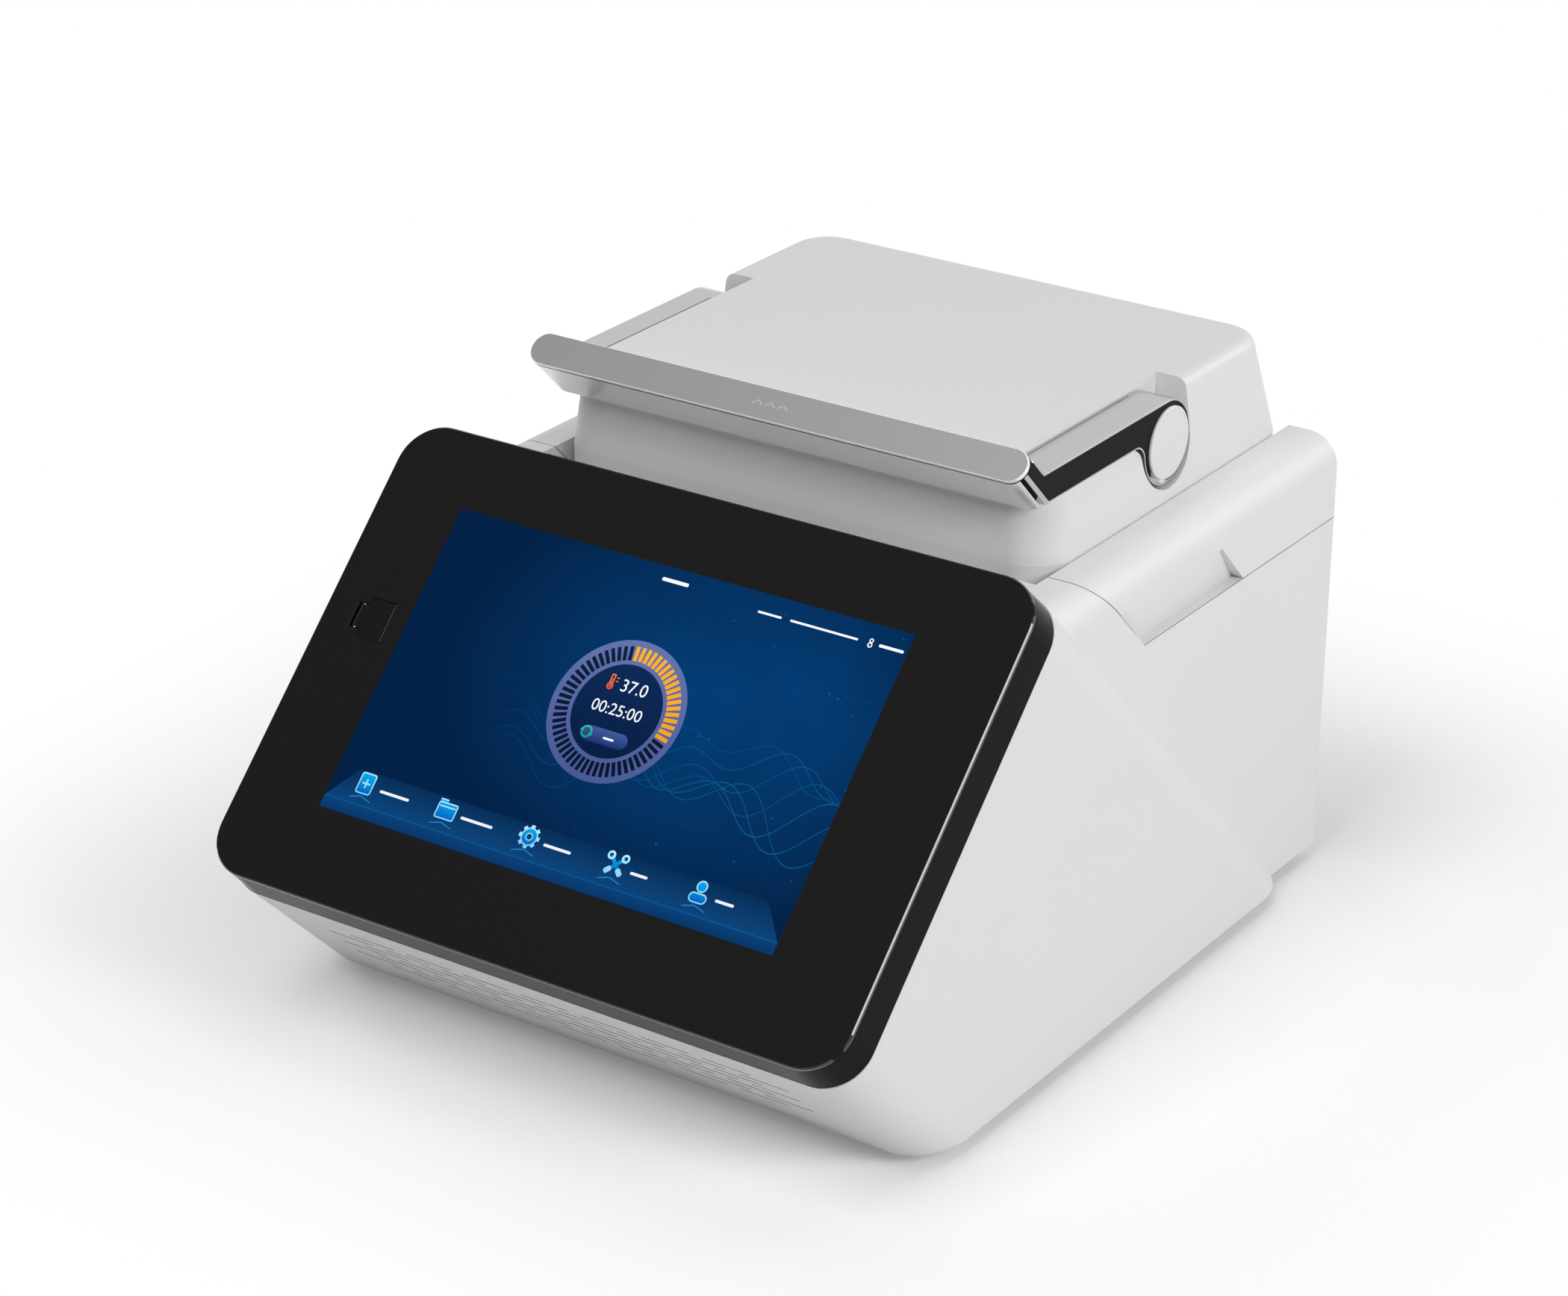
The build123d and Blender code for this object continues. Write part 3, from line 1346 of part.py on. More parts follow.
with BuildPart() as main_board:
    with BuildSketch(Plane.XY.offset(board_z)):
        with Locations((0, main_board_y)):
            Rectangle(main_board_wide, main_board_deep)
    extrude(amount=board_thick)
    with BuildSketch(Plane.XY.offset(board_z + board_thick)):
        with Locations((-30, main_board_y + 6)):
            Rectangle(28, 28)
        with Locations((34, main_board_y + 14)):
            with GridLocations(22, 1, 3, 1):
                Rectangle(14, 22)
        with Locations((0, main_board_y - main_board_deep / 2 + 10)):
            with GridLocations(34, 1, 5, 1):
                Rectangle(24, 8)
    extrude(amount=5)
main_board.part.label = "main_board"
export_step(main_board.part, "parts/main_board.step")

with BuildPart() as driver_board:
    with BuildSketch(Plane.XY.offset(board_z)):
        with Locations((driver_x, driver_y)):
            Rectangle(driver_wide, driver_deep)
    extrude(amount=board_thick)
    with BuildSketch(Plane.XY.offset(board_z + board_thick)):
        with Locations((driver_x, driver_y)):
            with GridLocations(driver_pitch, driver_pitch, 2, 4):
                Rectangle(driver_size, driver_size)
    extrude(amount=driver_high)
driver_board.part.label = "driver_board"
export_step(driver_board.part, "parts/driver_board.step")

# Mains inlet with three blades, over a fuse drawer
inlet_deep = 28.0
inlet_flange = 2.5
inlet_face = Plane.XZ.offset(-panel_y - panel_thick - inlet_flange)
socket_z = inlet_z + 9.0
socket_depth = 17.0
drawer_z = inlet_z - 14.0
drawer_wide = 22.0
drawer_high = 9.0
drawer_deep = 20.0
with BuildPart() as power_inlet:
    with BuildSketch(inlet_face.offset(inlet_flange)):
        with Locations((inlet_x, inlet_z)):
            Rectangle(inlet_wide - 0.4, inlet_high - 0.4)
    extrude(amount=inlet_deep)
    with BuildSketch(inlet_face):
        with Locations((inlet_x, inlet_z)):
            RectangleRounded(inlet_wide + 5, inlet_high + 6, 3)
    extrude(amount=inlet_flange)
    with BuildSketch(inlet_face) as socket_mouth:
        with Locations((inlet_x, socket_z)):
            Rectangle(24.6, 16.6)
        chamfer(socket_mouth.vertices().group_by(Axis.Y)[-1], 5)
        with Locations((inlet_x, drawer_z)):
            Rectangle(drawer_wide + 0.4, drawer_high + 0.4)
    extrude(amount=socket_depth, mode=Mode.SUBTRACT)
    with BuildSketch(inlet_face.offset(socket_depth)):
        with Locations((inlet_x, drawer_z)):
            Rectangle(drawer_wide + 0.4, drawer_high + 0.4)
    extrude(amount=drawer_deep - socket_depth + 1, mode=Mode.SUBTRACT)
    with BuildSketch(inlet_face.offset(socket_depth)):
        with Locations((inlet_x - 7, socket_z - 2), (inlet_x, socket_z + 2), (inlet_x + 7, socket_z - 2)):
            Rectangle(2, 4)
    extrude(amount=-10.5)
power_inlet.part.label = "power_inlet"
export_step(power_inlet.part, "parts/power_inlet.step")

with BuildPart() as fuse_drawer:
    with BuildSketch(inlet_face):
        with Locations((inlet_x, drawer_z)):
            Rectangle(drawer_wide, drawer_high)
    extrude(amount=drawer_deep)
    with BuildSketch(Plane.XY.offset(drawer_z + drawer_high / 2)):
        with Locations((inlet_x, panel_y - drawer_deep / 2 + 6)):
            Rectangle(6, 13)
    extrude(amount=-6, mode=Mode.SUBTRACT)
    with BuildSketch(inlet_face):
        with Locations((inlet_x, drawer_z)):
            Rectangle(10, 2)
    extrude(amount=-1)
fuse_drawer.part.label = "fuse_drawer"
export_step(fuse_drawer.part, "parts/fuse_drawer.step")

# Power switch: a frame with a rocker on two small trunnions
switch_face = Plane.XZ.offset(-panel_y - panel_thick - 2)
rocker_half_high = 12.0
rocker_half_wide = 8.6
rocker_axis_y = panel_y - 1.0
rocker_rest = 8.0
trunnion_radius = 1.2
with BuildPart() as power_switch:
    with BuildSketch(switch_face.offset(2)):
        with Locations((inlet_x, switch_z)):
            Rectangle(switch_wide - 0.4, switch_high - 0.4)
    extrude(amount=20)
    with BuildSketch(switch_face):
        with Locations((inlet_x, switch_z)):
            RectangleRounded(switch_wide + 3, switch_high + 3, 1.5)
    extrude(amount=2)
    with BuildSketch(switch_face):
        with Locations((inlet_x, switch_z)):
            Rectangle(2 * rocker_half_wide + 0.6, 2 * rocker_half_high + 2.4)
    extrude(amount=14, mode=Mode.SUBTRACT)
    with BuildSketch(Plane.YZ.offset(inlet_x)):
        with Locations((rocker_axis_y, switch_z)):
            Circle(trunnion_radius + running_gap)
    extrude(amount=rocker_half_wide + 1.6, both=True, mode=Mode.SUBTRACT)
power_switch.part.label = "power_switch"
export_step(power_switch.part, "parts/power_switch.step")

rocker_out = (0, cos(radians(rocker_rest)), -sin(radians(rocker_rest)))
rocker_plane = Plane(origin=(inlet_x, rocker_axis_y, switch_z), x_dir=rocker_out, z_dir=(1, 0, 0))
with BuildPart() as power_rocker:
    with BuildSketch(rocker_plane):
        Polygon((-5, -5), (2, -rocker_half_high), (4.5, -rocker_half_high), (2.8, 0), (4.5, rocker_half_high),
                (2, rocker_half_high), (-5, 5), align=None)
    extrude(amount=rocker_half_wide, both=True)
    with BuildSketch(rocker_plane):
        Circle(trunnion_radius)
    extrude(amount=rocker_half_wide + 1.4, both=True)
power_rocker.part.label = "power_rocker"
export_step(power_rocker.part, "parts/power_rocker.step")

# Rear data ports in one housing: a network socket over two data sockets
port_deep = 20.0
port_face = Plane.XZ.offset(-panel_y - panel_thick - 1)
with BuildPart() as data_ports:
    with BuildSketch(port_face.offset(1)):
        with Locations((port_x, port_z)):
            Rectangle(port_wide - 0.4, port_high - 0.4)
    extrude(amount=port_deep)
    with BuildSketch(port_face):
        with Locations((port_x, port_z)):
            Rectangle(port_wide + 4, port_high + 4)
    extrude(amount=1)
    with BuildSketch(port_face):
        with Locations((port_x, port_z + 16)):
            Rectangle(12, 9)
            with Locations((0, -5.5)):
                Rectangle(6, 3)
        with Locations((port_x, port_z - 2), (port_x, port_z - 16)):
            Rectangle(13, 5.2)
    extrude(amount=14, mode=Mode.SUBTRACT)
    with BuildSketch(port_face.offset(14)):
        with Locations((port_x, port_z - 1), (port_x, port_z - 15)):
            Rectangle(11, 1.6)
    extrude(amount=-11)
data_ports.part.label = "data_ports"
export_step(data_ports.part, "parts/data_ports.step")
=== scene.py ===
import json
import math

import bpy
from mathutils import Matrix, Vector


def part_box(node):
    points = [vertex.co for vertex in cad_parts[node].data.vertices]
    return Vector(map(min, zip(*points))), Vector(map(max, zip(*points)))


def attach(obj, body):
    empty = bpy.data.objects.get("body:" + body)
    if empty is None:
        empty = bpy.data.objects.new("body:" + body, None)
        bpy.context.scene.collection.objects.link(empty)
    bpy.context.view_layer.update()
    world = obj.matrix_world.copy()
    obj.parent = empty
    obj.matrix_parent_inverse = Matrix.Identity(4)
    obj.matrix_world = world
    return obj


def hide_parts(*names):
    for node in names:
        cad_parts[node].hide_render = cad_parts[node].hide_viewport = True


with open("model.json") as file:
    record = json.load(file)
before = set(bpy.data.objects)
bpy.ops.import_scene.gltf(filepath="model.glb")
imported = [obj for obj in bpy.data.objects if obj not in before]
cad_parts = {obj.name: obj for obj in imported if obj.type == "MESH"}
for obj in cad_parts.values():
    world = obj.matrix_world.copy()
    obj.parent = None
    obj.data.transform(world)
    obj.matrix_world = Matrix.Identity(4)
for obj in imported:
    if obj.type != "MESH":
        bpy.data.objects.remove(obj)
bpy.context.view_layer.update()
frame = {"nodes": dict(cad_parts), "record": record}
nodes = frame["nodes"]
print("frame loaded,", len(nodes), "nodes")

mm = 0.001
frameOrigin = Vector((0, 0, 0))
axisX = Vector((1, 0, 0))
axisY = Vector((0, 1, 0))
axisZ = Vector((0, 0, 1))

# The display's own axes: right across the glass, up along it and out of it
displayPlace = {"centre": (0, -0.12505, 0.1476), "tilt": 45.0}
tilt = math.radians(displayPlace["tilt"])
glassCentre = Vector(displayPlace["centre"])
faceRight = axisX
faceUp = Vector((0, math.cos(tilt), math.sin(tilt)))
faceOut = Vector((0, -math.sin(tilt), math.cos(tilt)))

# The grip plate leans as the display does. Half its thickness is in millimetres
plateHalf = 1.0
plateCorners = [Vector(corner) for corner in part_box("grip_plate")]
plateCentre = (plateCorners[0] + plateCorners[1]) / 2


def facePlace(centre, lift):
    # where a flat drawing goes: leaning as the display does, this many millimetres above the centre
    place = Matrix((faceRight, faceUp, faceOut)).transposed().to_4x4()
    place.translation = centre + faceOut * (lift * mm)
    return place


# Shader sums written as plain expressions
class Wire:
    def __init__(self, owner, socket):
        self.owner = owner
        self.socket = socket

    def calc(self, operation, *others, clamp=False):
        sockets = dict(enumerate((self,) + others))
        return self.owner.add("ShaderNodeMath", {"operation": operation, "use_clamp": clamp}, sockets)

    def __add__(self, other):
        return self.calc("ADD", other)

    def __radd__(self, other):
        return self.calc("ADD", other)

    def __sub__(self, other):
        return self.calc("SUBTRACT", other)

    def __rsub__(self, other):
        return self.owner.add("ShaderNodeMath", {"operation": "SUBTRACT"}, {0: other, 1: self})

    def __mul__(self, other):
        return self.calc("MULTIPLY", other)

    def __truediv__(self, other):
        return self.calc("DIVIDE", other)

    def size(self):
        return self.calc("ABSOLUTE")

    def under(self, edge, soft):  # 1 below the edge, 0 above it
        return ((edge - self) / soft).calc("ADD", 0.5, clamp=True)


class NodeTree:
    def __init__(self, owner):
        owner.use_nodes = True
        self.tree = owner.node_tree
        self.tree.nodes.clear()

    def add(self, kind, settings=None, sockets=None, out=0):
        node = self.tree.nodes.new(kind)
        for key, value in (settings or {}).items():
            setattr(node, key, value)
        for key, value in (sockets or {}).items():
            if isinstance(value, Wire):
                self.tree.links.new(value.socket, node.inputs[key])
            else:
                node.inputs[key].default_value = value
        return Wire(self, node.outputs[out]) if node.outputs else node

    def seenRays(self):  # 1 for the camera's rays, and for those that gloss and glass send on
        kinds = ("Is Camera Ray", "Is Glossy Ray", "Is Transmission Ray")
        camera, glossy, through = (self.add("ShaderNodeLightPath", out=kind) for kind in kinds)
        return camera.calc("MAXIMUM", glossy).calc("MAXIMUM", through)


class Finish(NodeTree):
    def __init__(self, name, values):
        self.material = bpy.data.materials.new(name)
        super().__init__(self.material)
        self.surface = self.add("ShaderNodeBsdfPrincipled", {}, values)
        self.add("ShaderNodeOutputMaterial", {}, {0: self.surface})
        self.place = self.add("ShaderNodeTexCoord", out="Object")

    def drive(self, socket, wire):
        self.tree.links.new(wire.socket, self.surface.socket.node.inputs[socket])

    def mix(self, share, first, second):
        return self.add("ShaderNodeMix", {"data_type": "RGBA", "clamp_factor": True},
                        {0: share, 6: first, 7: second}, out=2)

    def noise(self, scale, detail, stretch=(1, 1, 1)):
        moved = self.add("ShaderNodeMapping", {}, {"Vector": self.place, "Scale": stretch})
        return self.add("ShaderNodeTexNoise", {}, {"Vector": moved, "Scale": scale, "Detail": detail})

    def cells(self, scale, settings=None):
        return self.add("ShaderNodeTexVoronoi", settings, {"Vector": self.place, "Scale": scale})

    def along(self, direction, origin):
        dot = self.add("ShaderNodeVectorMath", {"operation": "DOT_PRODUCT"},
                       {0: self.place, 1: tuple(direction)}, out="Value")
        return dot - direction.dot(origin)

    def bump(self, height, strength, distance):
        sockets = {"Height": height, "Strength": strength, "Distance": distance}
        self.drive("Normal", self.add("ShaderNodeBump", {}, sockets))


def shade(colour, factor):
    return tuple(min(1.0, c * factor) for c in colour) + (1.0,)


# What a plain finish holds where its own row doesn't say otherwise
plainValues = {"metal": 0.0, "coat": 0.0, "coatRough": 0.05, "gloss": 0.5, "stretch": (1, 1, 1),
               "cloudScale": 14.0, "cloudDetail": 3.0, "grainDetail": 2.0, "roughSpread": 0.08,
               "depth": 0.00005, "seamShade": 0.2, "rimSoft": 0.00003, "brightSoft": 0.00002}


def grainedFinish(name, v):
    finish = Finish(name, {"Metallic": v["metal"], "Coat Weight": v["coat"],
                           "Coat Roughness": v["coatRough"], "Specular IOR Level": v["gloss"]})
    cloud = finish.noise(v["cloudScale"], v["cloudDetail"], v["stretch"])
    grain = finish.noise(v["grain"], v["grainDetail"], v["stretch"])
    colour = finish.mix(cloud, shade(v["colour"], 1 - v["cloud"]), shade(v["colour"], 1 + v["cloud"]))
    rough = v["rough"]
    if "seam" in v:
        colour = finish.mix(v["seam"](finish), colour, shade(v["colour"], v["seamShade"]))
    if "rim" in v:  # a polished edge below this height over the plate's middle
        rim = finish.along(faceOut, plateCentre).under(v["rim"], v["rimSoft"])
        colour = finish.mix(rim, colour, v["rimColour"])
        rough = v["rough"] - rim * (v["rough"] - v["rimRough"])
    if "bright" in v:  # a polished chamfer below this height over the glass
        chamfer = finish.along(faceOut, glassCentre).under(v["bright"], v["brightSoft"])
        finish.drive("Coat Weight", chamfer)
    finish.drive("Base Color", colour)
    finish.drive("Roughness", (grain - 0.5) * v["roughSpread"] + rough)
    finish.bump(grain, v["bump"], v["depth"])
    return finish.material


# Where the cover meets the housing: along the sides, and down over the shoulders at the front
seamValues = {"height": 0.1607, "lean": 0.1226, "half": 0.00022, "well": 0.1192, "side": 0.1433,
              "back": 0.19, "fade": 0.008, "fadeSoft": 0.006, "soft": 0.0001}


def coverSeam(finish):
    v, soft = seamValues, seamValues["soft"]
    rise = finish.along(axisZ, axisZ * v["height"])
    lean = finish.along(faceUp, glassCentre + faceUp * v["lean"])
    across = finish.along(axisX, frameOrigin).size()
    back = finish.along(axisY, axisY * v["back"])
    outside = (v["side"] - across).under(0, soft).calc("MAXIMUM", (0 - back).under(0, soft))
    flat = rise.size().under(v["half"], soft) * (0 - lean).under(0, soft) * outside
    leaning = lean.size().under(v["half"], soft) * (v["fade"] - rise).under(0, v["fadeSoft"])
    return flat.calc("MAXIMUM", leaning) * (v["well"] - across).under(0, soft)


finishValues = {
    "caseWhite": {"colour": (0.78, 0.78, 0.785), "cloud": 0.012, "rough": 0.4, "grain": 2600,
                  "bump": 0.25, "gloss": 0.3, "seam": coverSeam},
    "linerGrey": {"colour": (0.32, 0.33, 0.34), "cloud": 0.02, "rough": 0.5, "grain": 1800, "bump": 0.3},
    "displayBlack": {"colour": (0.008, 0.008, 0.0085), "cloud": 0.1, "rough": 0.14, "grain": 1200,
                     "bump": 0.04, "gloss": 0.03},
    "doorBlack": {"colour": (0.011, 0.011, 0.0115), "cloud": 0.1, "rough": 0.14, "grain": 1200,
                  "bump": 0.04, "gloss": 0.03, "bright": -0.00004},
    "leverChrome": {"colour": (0.46, 0.47, 0.475), "cloud": 0.03, "rough": 0.2, "grain": 600,
                    "bump": 0.06, "metal": 1.0, "stretch": (1, 12, 1), "roughSpread": 0.12},
    "anodisedPlate": {"colour": (0.235, 0.235, 0.238), "cloud": 0.03, "rough": 0.42, "grain": 1500,
                      "bump": 0.2, "metal": 0.85, "stretch": (0.2, 2, 2), "roughSpread": 0.1,
                      "rim": 0.00095, "rimColour": (0.82, 0.82, 0.83, 1), "rimRough": 0.15},
    # the bar's chrome is the arms' chrome painted lighter: painted light on the bar's downward-facing
    # face, which lies in shade
    "barChromePaintedLight": {"colour": (0.84, 0.85, 0.86), "cloud": 0.03, "rough": 0.22, "grain": 600,
                  "bump": 0.06, "metal": 1.0, "stretch": (1, 12, 1), "roughSpread": 0.12},
    "insertBlack": {"colour": (0.011, 0.011, 0.011), "cloud": 0.05, "rough": 0.4, "grain": 2200,
                    "bump": 0.2, "gloss": 0.03},
    "platedSteel": {"colour": (0.5, 0.51, 0.53), "cloud": 0.08, "rough": 0.34, "grain": 500,
                    "bump": 0.1, "metal": 1.0, "cloudScale": 60.0},
    "panelGrey": {"colour": (0.55, 0.55, 0.55), "cloud": 0.02, "rough": 0.5, "grain": 1400, "bump": 0.5},
    "castAluminium": {"colour": (0.6, 0.61, 0.62), "cloud": 0.04, "rough": 0.32, "grain": 900,
                      "bump": 0.15, "metal": 1.0, "stretch": (1, 6, 1)},
    "rubberBlack": {"colour": (0.02, 0.02, 0.02), "cloud": 0.1, "rough": 0.7, "grain": 1500, "bump": 0.5},
    "fanBlack": {"colour": (0.02, 0.021, 0.022), "cloud": 0.08, "rough": 0.45, "grain": 1200,
                 "bump": 0.3},
    "ceramicWhite": {"colour": (0.75, 0.75, 0.72), "cloud": 0.03, "rough": 0.55, "grain": 1600,
                     "bump": 0.2},
    "graphite": {"colour": (0.06, 0.06, 0.065), "cloud": 0.15, "rough": 0.5, "grain": 900, "bump": 0.4},
    "filmOrange": {"colour": (0.5, 0.16, 0.02), "cloud": 0.06, "rough": 0.25, "grain": 400, "bump": 0.1,
                   "coat": 0.5},
    "connectorBlack": {"colour": (0.025, 0.025, 0.027), "cloud": 0.06, "rough": 0.4, "grain": 1600,
                       "bump": 0.3},
}
materials = {name: grainedFinish(name, {**plainValues, **v}) for name, v in finishValues.items()}
print("plain finishes made")

# Green circuit board: lighter tracks under the mask and a scatter of solder
boardValues = {"mask": (0.01, 0.12, 0.05, 1), "track": (0.02, 0.2, 0.09, 1),
               "solder": (0.5, 0.5, 0.48, 1), "trackScale": 160.0, "trackHalf": 0.12, "trackSoft": 0.04,
               "padScale": 220.0, "padHalf": 0.13, "padSoft": 0.05, "coat": 0.4, "rough": 0.4,
               "padPolish": 0.15, "bump": 0.3, "depth": 0.0001}


def boardFinish(v):
    finish = Finish("circuitBoard", {"Coat Weight": v["coat"]})
    tracks = finish.cells(v["trackScale"], {"distance": "MANHATTAN", "feature": "DISTANCE_TO_EDGE"})
    pads = finish.cells(v["padScale"]).under(v["padHalf"], v["padSoft"])
    colour = finish.mix(tracks.under(v["trackHalf"], v["trackSoft"]), v["mask"], v["track"])
    finish.drive("Base Color", finish.mix(pads, colour, v["solder"]))
    finish.drive("Roughness", v["rough"] - pads * v["padPolish"])
    finish.bump(pads, v["bump"], v["depth"])
    return finish.material


materials["circuitBoard"] = boardFinish(boardValues)

# Touch glass: black print with the lit picture in its window. Lengths in millimetres on the glass
pictureValues = {
    "u": -1.85, "v": 2.5, "wide": 216.96, "high": 134.0, "soft": 0.1,
    "deep": (0.0, 0.0135, 0.056, 1), "bright": (0.0, 0.052, 0.2, 1), "wave": (0.004, 0.2, 0.46, 1),
    "glowU": 44, "glowV": 24, "glowWide": 105, "glowHigh": 70, "glowReach": 1.25, "glowGain": 0.8,
    "cloudScale": 26.0, "cloudDetail": 3.0, "cloudLeast": 0.55, "cloudShare": 0.7,
    "fadeFrom": -70, "fadeLong": 150, "motif": 0.85, "lineShare": 1.25, "dotShare": 0.8,
    "dotScale": 210.0, "dotHalf": 0.1, "dotSoft": 0.05, "speckScale": 60.0, "speckDetail": 1.0,
    "speckGain": 5.0, "print": (0.0158, 0.0158, 0.0161, 1), "unlit": (0.0, 0.002, 0.008, 1),
    "dark": (0, 0, 0, 1), "edgeU": 149.6, "edgeV": 93.8, "chamfer": -0.00004, "chamferSoft": 0.00002,
    "gloss": 0.014, "coatRough": 0.05, "rough": 0.16, "smear": 0.08, "smearScale": 9.0,
    "smearDetail": 3.0,
}
curveValues = {"count": 7, "riseTurn": 0.115, "riseTurnStep": 0.006, "risePhase": 0.55,
               "riseHigh": 9, "riseLess": 0.8, "bendTurn": 0.043, "bendPhase": 0.9, "bendHigh": 7,
               "apart": 3, "lowest": -16, "half": 0.16, "halfMore": 0.05, "halfCycle": 3,
               "soft": 0.35, "share": 0.5, "shareLess": 0.05}


def heatCurves(v, u, w):
    # heating and cooling curves: soft steps that repeat across the window
    lines = None
    for i in range(v["count"]):
        turn = v["riseTurn"] + v["riseTurnStep"] * i
        rise = (u * turn + v["risePhase"] * i).calc("SINE")
        bend = (u * v["bendTurn"] + v["bendPhase"] * i).calc("SINE")
        height = (rise * (v["riseHigh"] - v["riseLess"] * i) + bend * v["bendHigh"]
                  + (v["apart"] * i + v["lowest"]))
        half = v["half"] + v["halfMore"] * (i % v["halfCycle"])
        line = (w - height).size().under(half, v["soft"]) * (v["share"] - v["shareLess"] * i)
        lines = line if lines is None else lines.calc("MAXIMUM", line)
    return lines


def glassFinish(v):
    finish = Finish("screenGlass", {"Coat Roughness": v["coatRough"], "Emission Strength": 1.0,
                                    "Specular IOR Level": v["gloss"]})
    u = finish.along(faceRight, glassCentre) / mm
    w = finish.along(faceUp, glassCentre) / mm
    inside = ((u - v["u"]).size().under(v["wide"] / 2, v["soft"])
              * (w - v["v"]).size().under(v["high"] / 2, v["soft"]))
    # a wide glow towards the upper right and darker corners
    farU = ((u - v["glowU"]) / v["glowWide"]).calc("POWER", 2)
    farV = ((w - v["glowV"]) / v["glowHigh"]).calc("POWER", 2)
    glow = (v["glowReach"] - (farU + farV).calc("SQRT")).calc("MULTIPLY", v["glowGain"], clamp=True)
    cloud = finish.noise(v["cloudScale"], v["cloudDetail"])
    base = finish.mix(glow * (v["cloudLeast"] + cloud * v["cloudShare"]), v["deep"], v["bright"])
    # curves and specks that fade towards the window's left
    fade = (u - v["fadeFrom"]).calc("DIVIDE", v["fadeLong"], clamp=True)
    speck = finish.noise(v["speckScale"], v["speckDetail"]) - 0.5
    dots = (finish.cells(v["dotScale"]).under(v["dotHalf"], v["dotSoft"])
            * speck.calc("MULTIPLY", v["speckGain"], clamp=True))
    lines = heatCurves(curveValues, u, w)
    motif = (lines * v["lineShare"] + dots * v["dotShare"]) * fade * v["motif"]
    picture = finish.mix(motif, base, v["wave"])
    finish.drive("Emission Color", finish.mix(inside, v["dark"], picture))
    finish.drive("Base Color", finish.mix(inside, v["print"], v["unlit"]))
    # a coat on the chamfer of the outer edge, but not on that of the door's opening
    chamfer = finish.along(faceOut, glassCentre).under(v["chamfer"], v["chamferSoft"])
    outerU = (v["edgeU"] - u.size()).under(0, v["soft"])
    outerV = (v["edgeV"] - w.size()).under(0, v["soft"])
    finish.drive("Coat Weight", chamfer * outerU.calc("MAXIMUM", outerV))
    smear = finish.noise(v["smearScale"], v["smearDetail"])
    finish.drive("Roughness", v["rough"] + smear * v["smear"])
    return finish.material


materials["screenGlass"] = glassFinish(pictureValues)
print("glass picture made")

finishOfSlot = {
    "case_white": "caseWhite", "liner_grey": "linerGrey", "display_black": "displayBlack",
    "screen_glass": "screenGlass", "screen": "displayBlack", "circuit_board": "circuitBoard",
    "plated_steel": "platedSteel", "panel_grey": "panelGrey", "cast_aluminium": "castAluminium",
    "anodised_plate": "anodisedPlate", "lever_chrome": "leverChrome", "insert_black": "insertBlack",
    "rubber_black": "rubberBlack", "fan_black": "fanBlack", "ceramic_white": "ceramicWhite",
    "graphite": "graphite", "film_orange": "filmOrange", "connector_black": "connectorBlack",
}
slotOfNode = {part["node"]: part["material_slot"] for part in frame["record"]["subparts"]}
nodesOfBody = frame["record"]["behaviour"]["bodies"]
bodyOfNode = {name: body for body, names in nodesOfBody.items() for name in names}
finishOfNode = {name: finishOfSlot[slotOfNode[name]] for name in nodes}
# the bar gets the lighter copy of the chrome: painted light
finishOfNode["grip_bar"] = "barChromePaintedLight"
finishOfNode["usb_door"] = "doorBlack"
for name, node in nodes.items():
    node.data.materials.clear()
    node.data.materials.append(materials[finishOfNode[name]])
print("finishes given to the nodes")


# Modelling helpers. Flat shapes are drawn in millimetres, then laid on the glass or the lever
def selectOnly(*objects):
    if bpy.context.object and bpy.context.object.mode != "OBJECT":
        bpy.ops.object.mode_set(mode="OBJECT")
    bpy.ops.object.select_all(action="DESELECT")
    for o in objects:
        o.select_set(True)
    bpy.context.view_layer.objects.active = objects[0] if objects else None


def pick(obj, test):
    # edit mode with only the vertices that pass the test selected
    selectOnly(obj)
    bpy.ops.object.mode_set(mode="EDIT")
    bpy.ops.mesh.select_mode(type="VERT")
    bpy.ops.mesh.select_all(action="DESELECT")
    bpy.ops.object.mode_set(mode="OBJECT")
    for vertex in obj.data.vertices:
        vertex.select = test(vertex.co)
    bpy.ops.object.mode_set(mode="EDIT")


def joined(objects):
    selectOnly(*objects)
    if len(objects) > 1:
        bpy.ops.object.join()
    return bpy.context.object


def thickened(obj, thick, offset=1):
    selectOnly(obj)
    thicken = obj.modifiers.new("thickness", "SOLIDIFY")
    thicken.thickness = thick * mm
    thicken.offset = offset
    bpy.ops.object.modifier_apply(modifier=thicken.name)
    return obj


def settle(obj, name, body, finish, matrix=None):
    selectOnly(obj)
    bpy.ops.object.transform_apply(location=True, rotation=True, scale=True)
    if matrix is not None:
        obj.data.transform(matrix)
    obj.name = name
    obj.data.name = name
    obj.data.materials.clear()
    obj.data.materials.append(finish)
    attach(obj, body)


softValues = {"merge": 0.000005, "flatAngle": 0.5, "edgeAngle": 32, "smoothAngle": 34, "segments": 2}


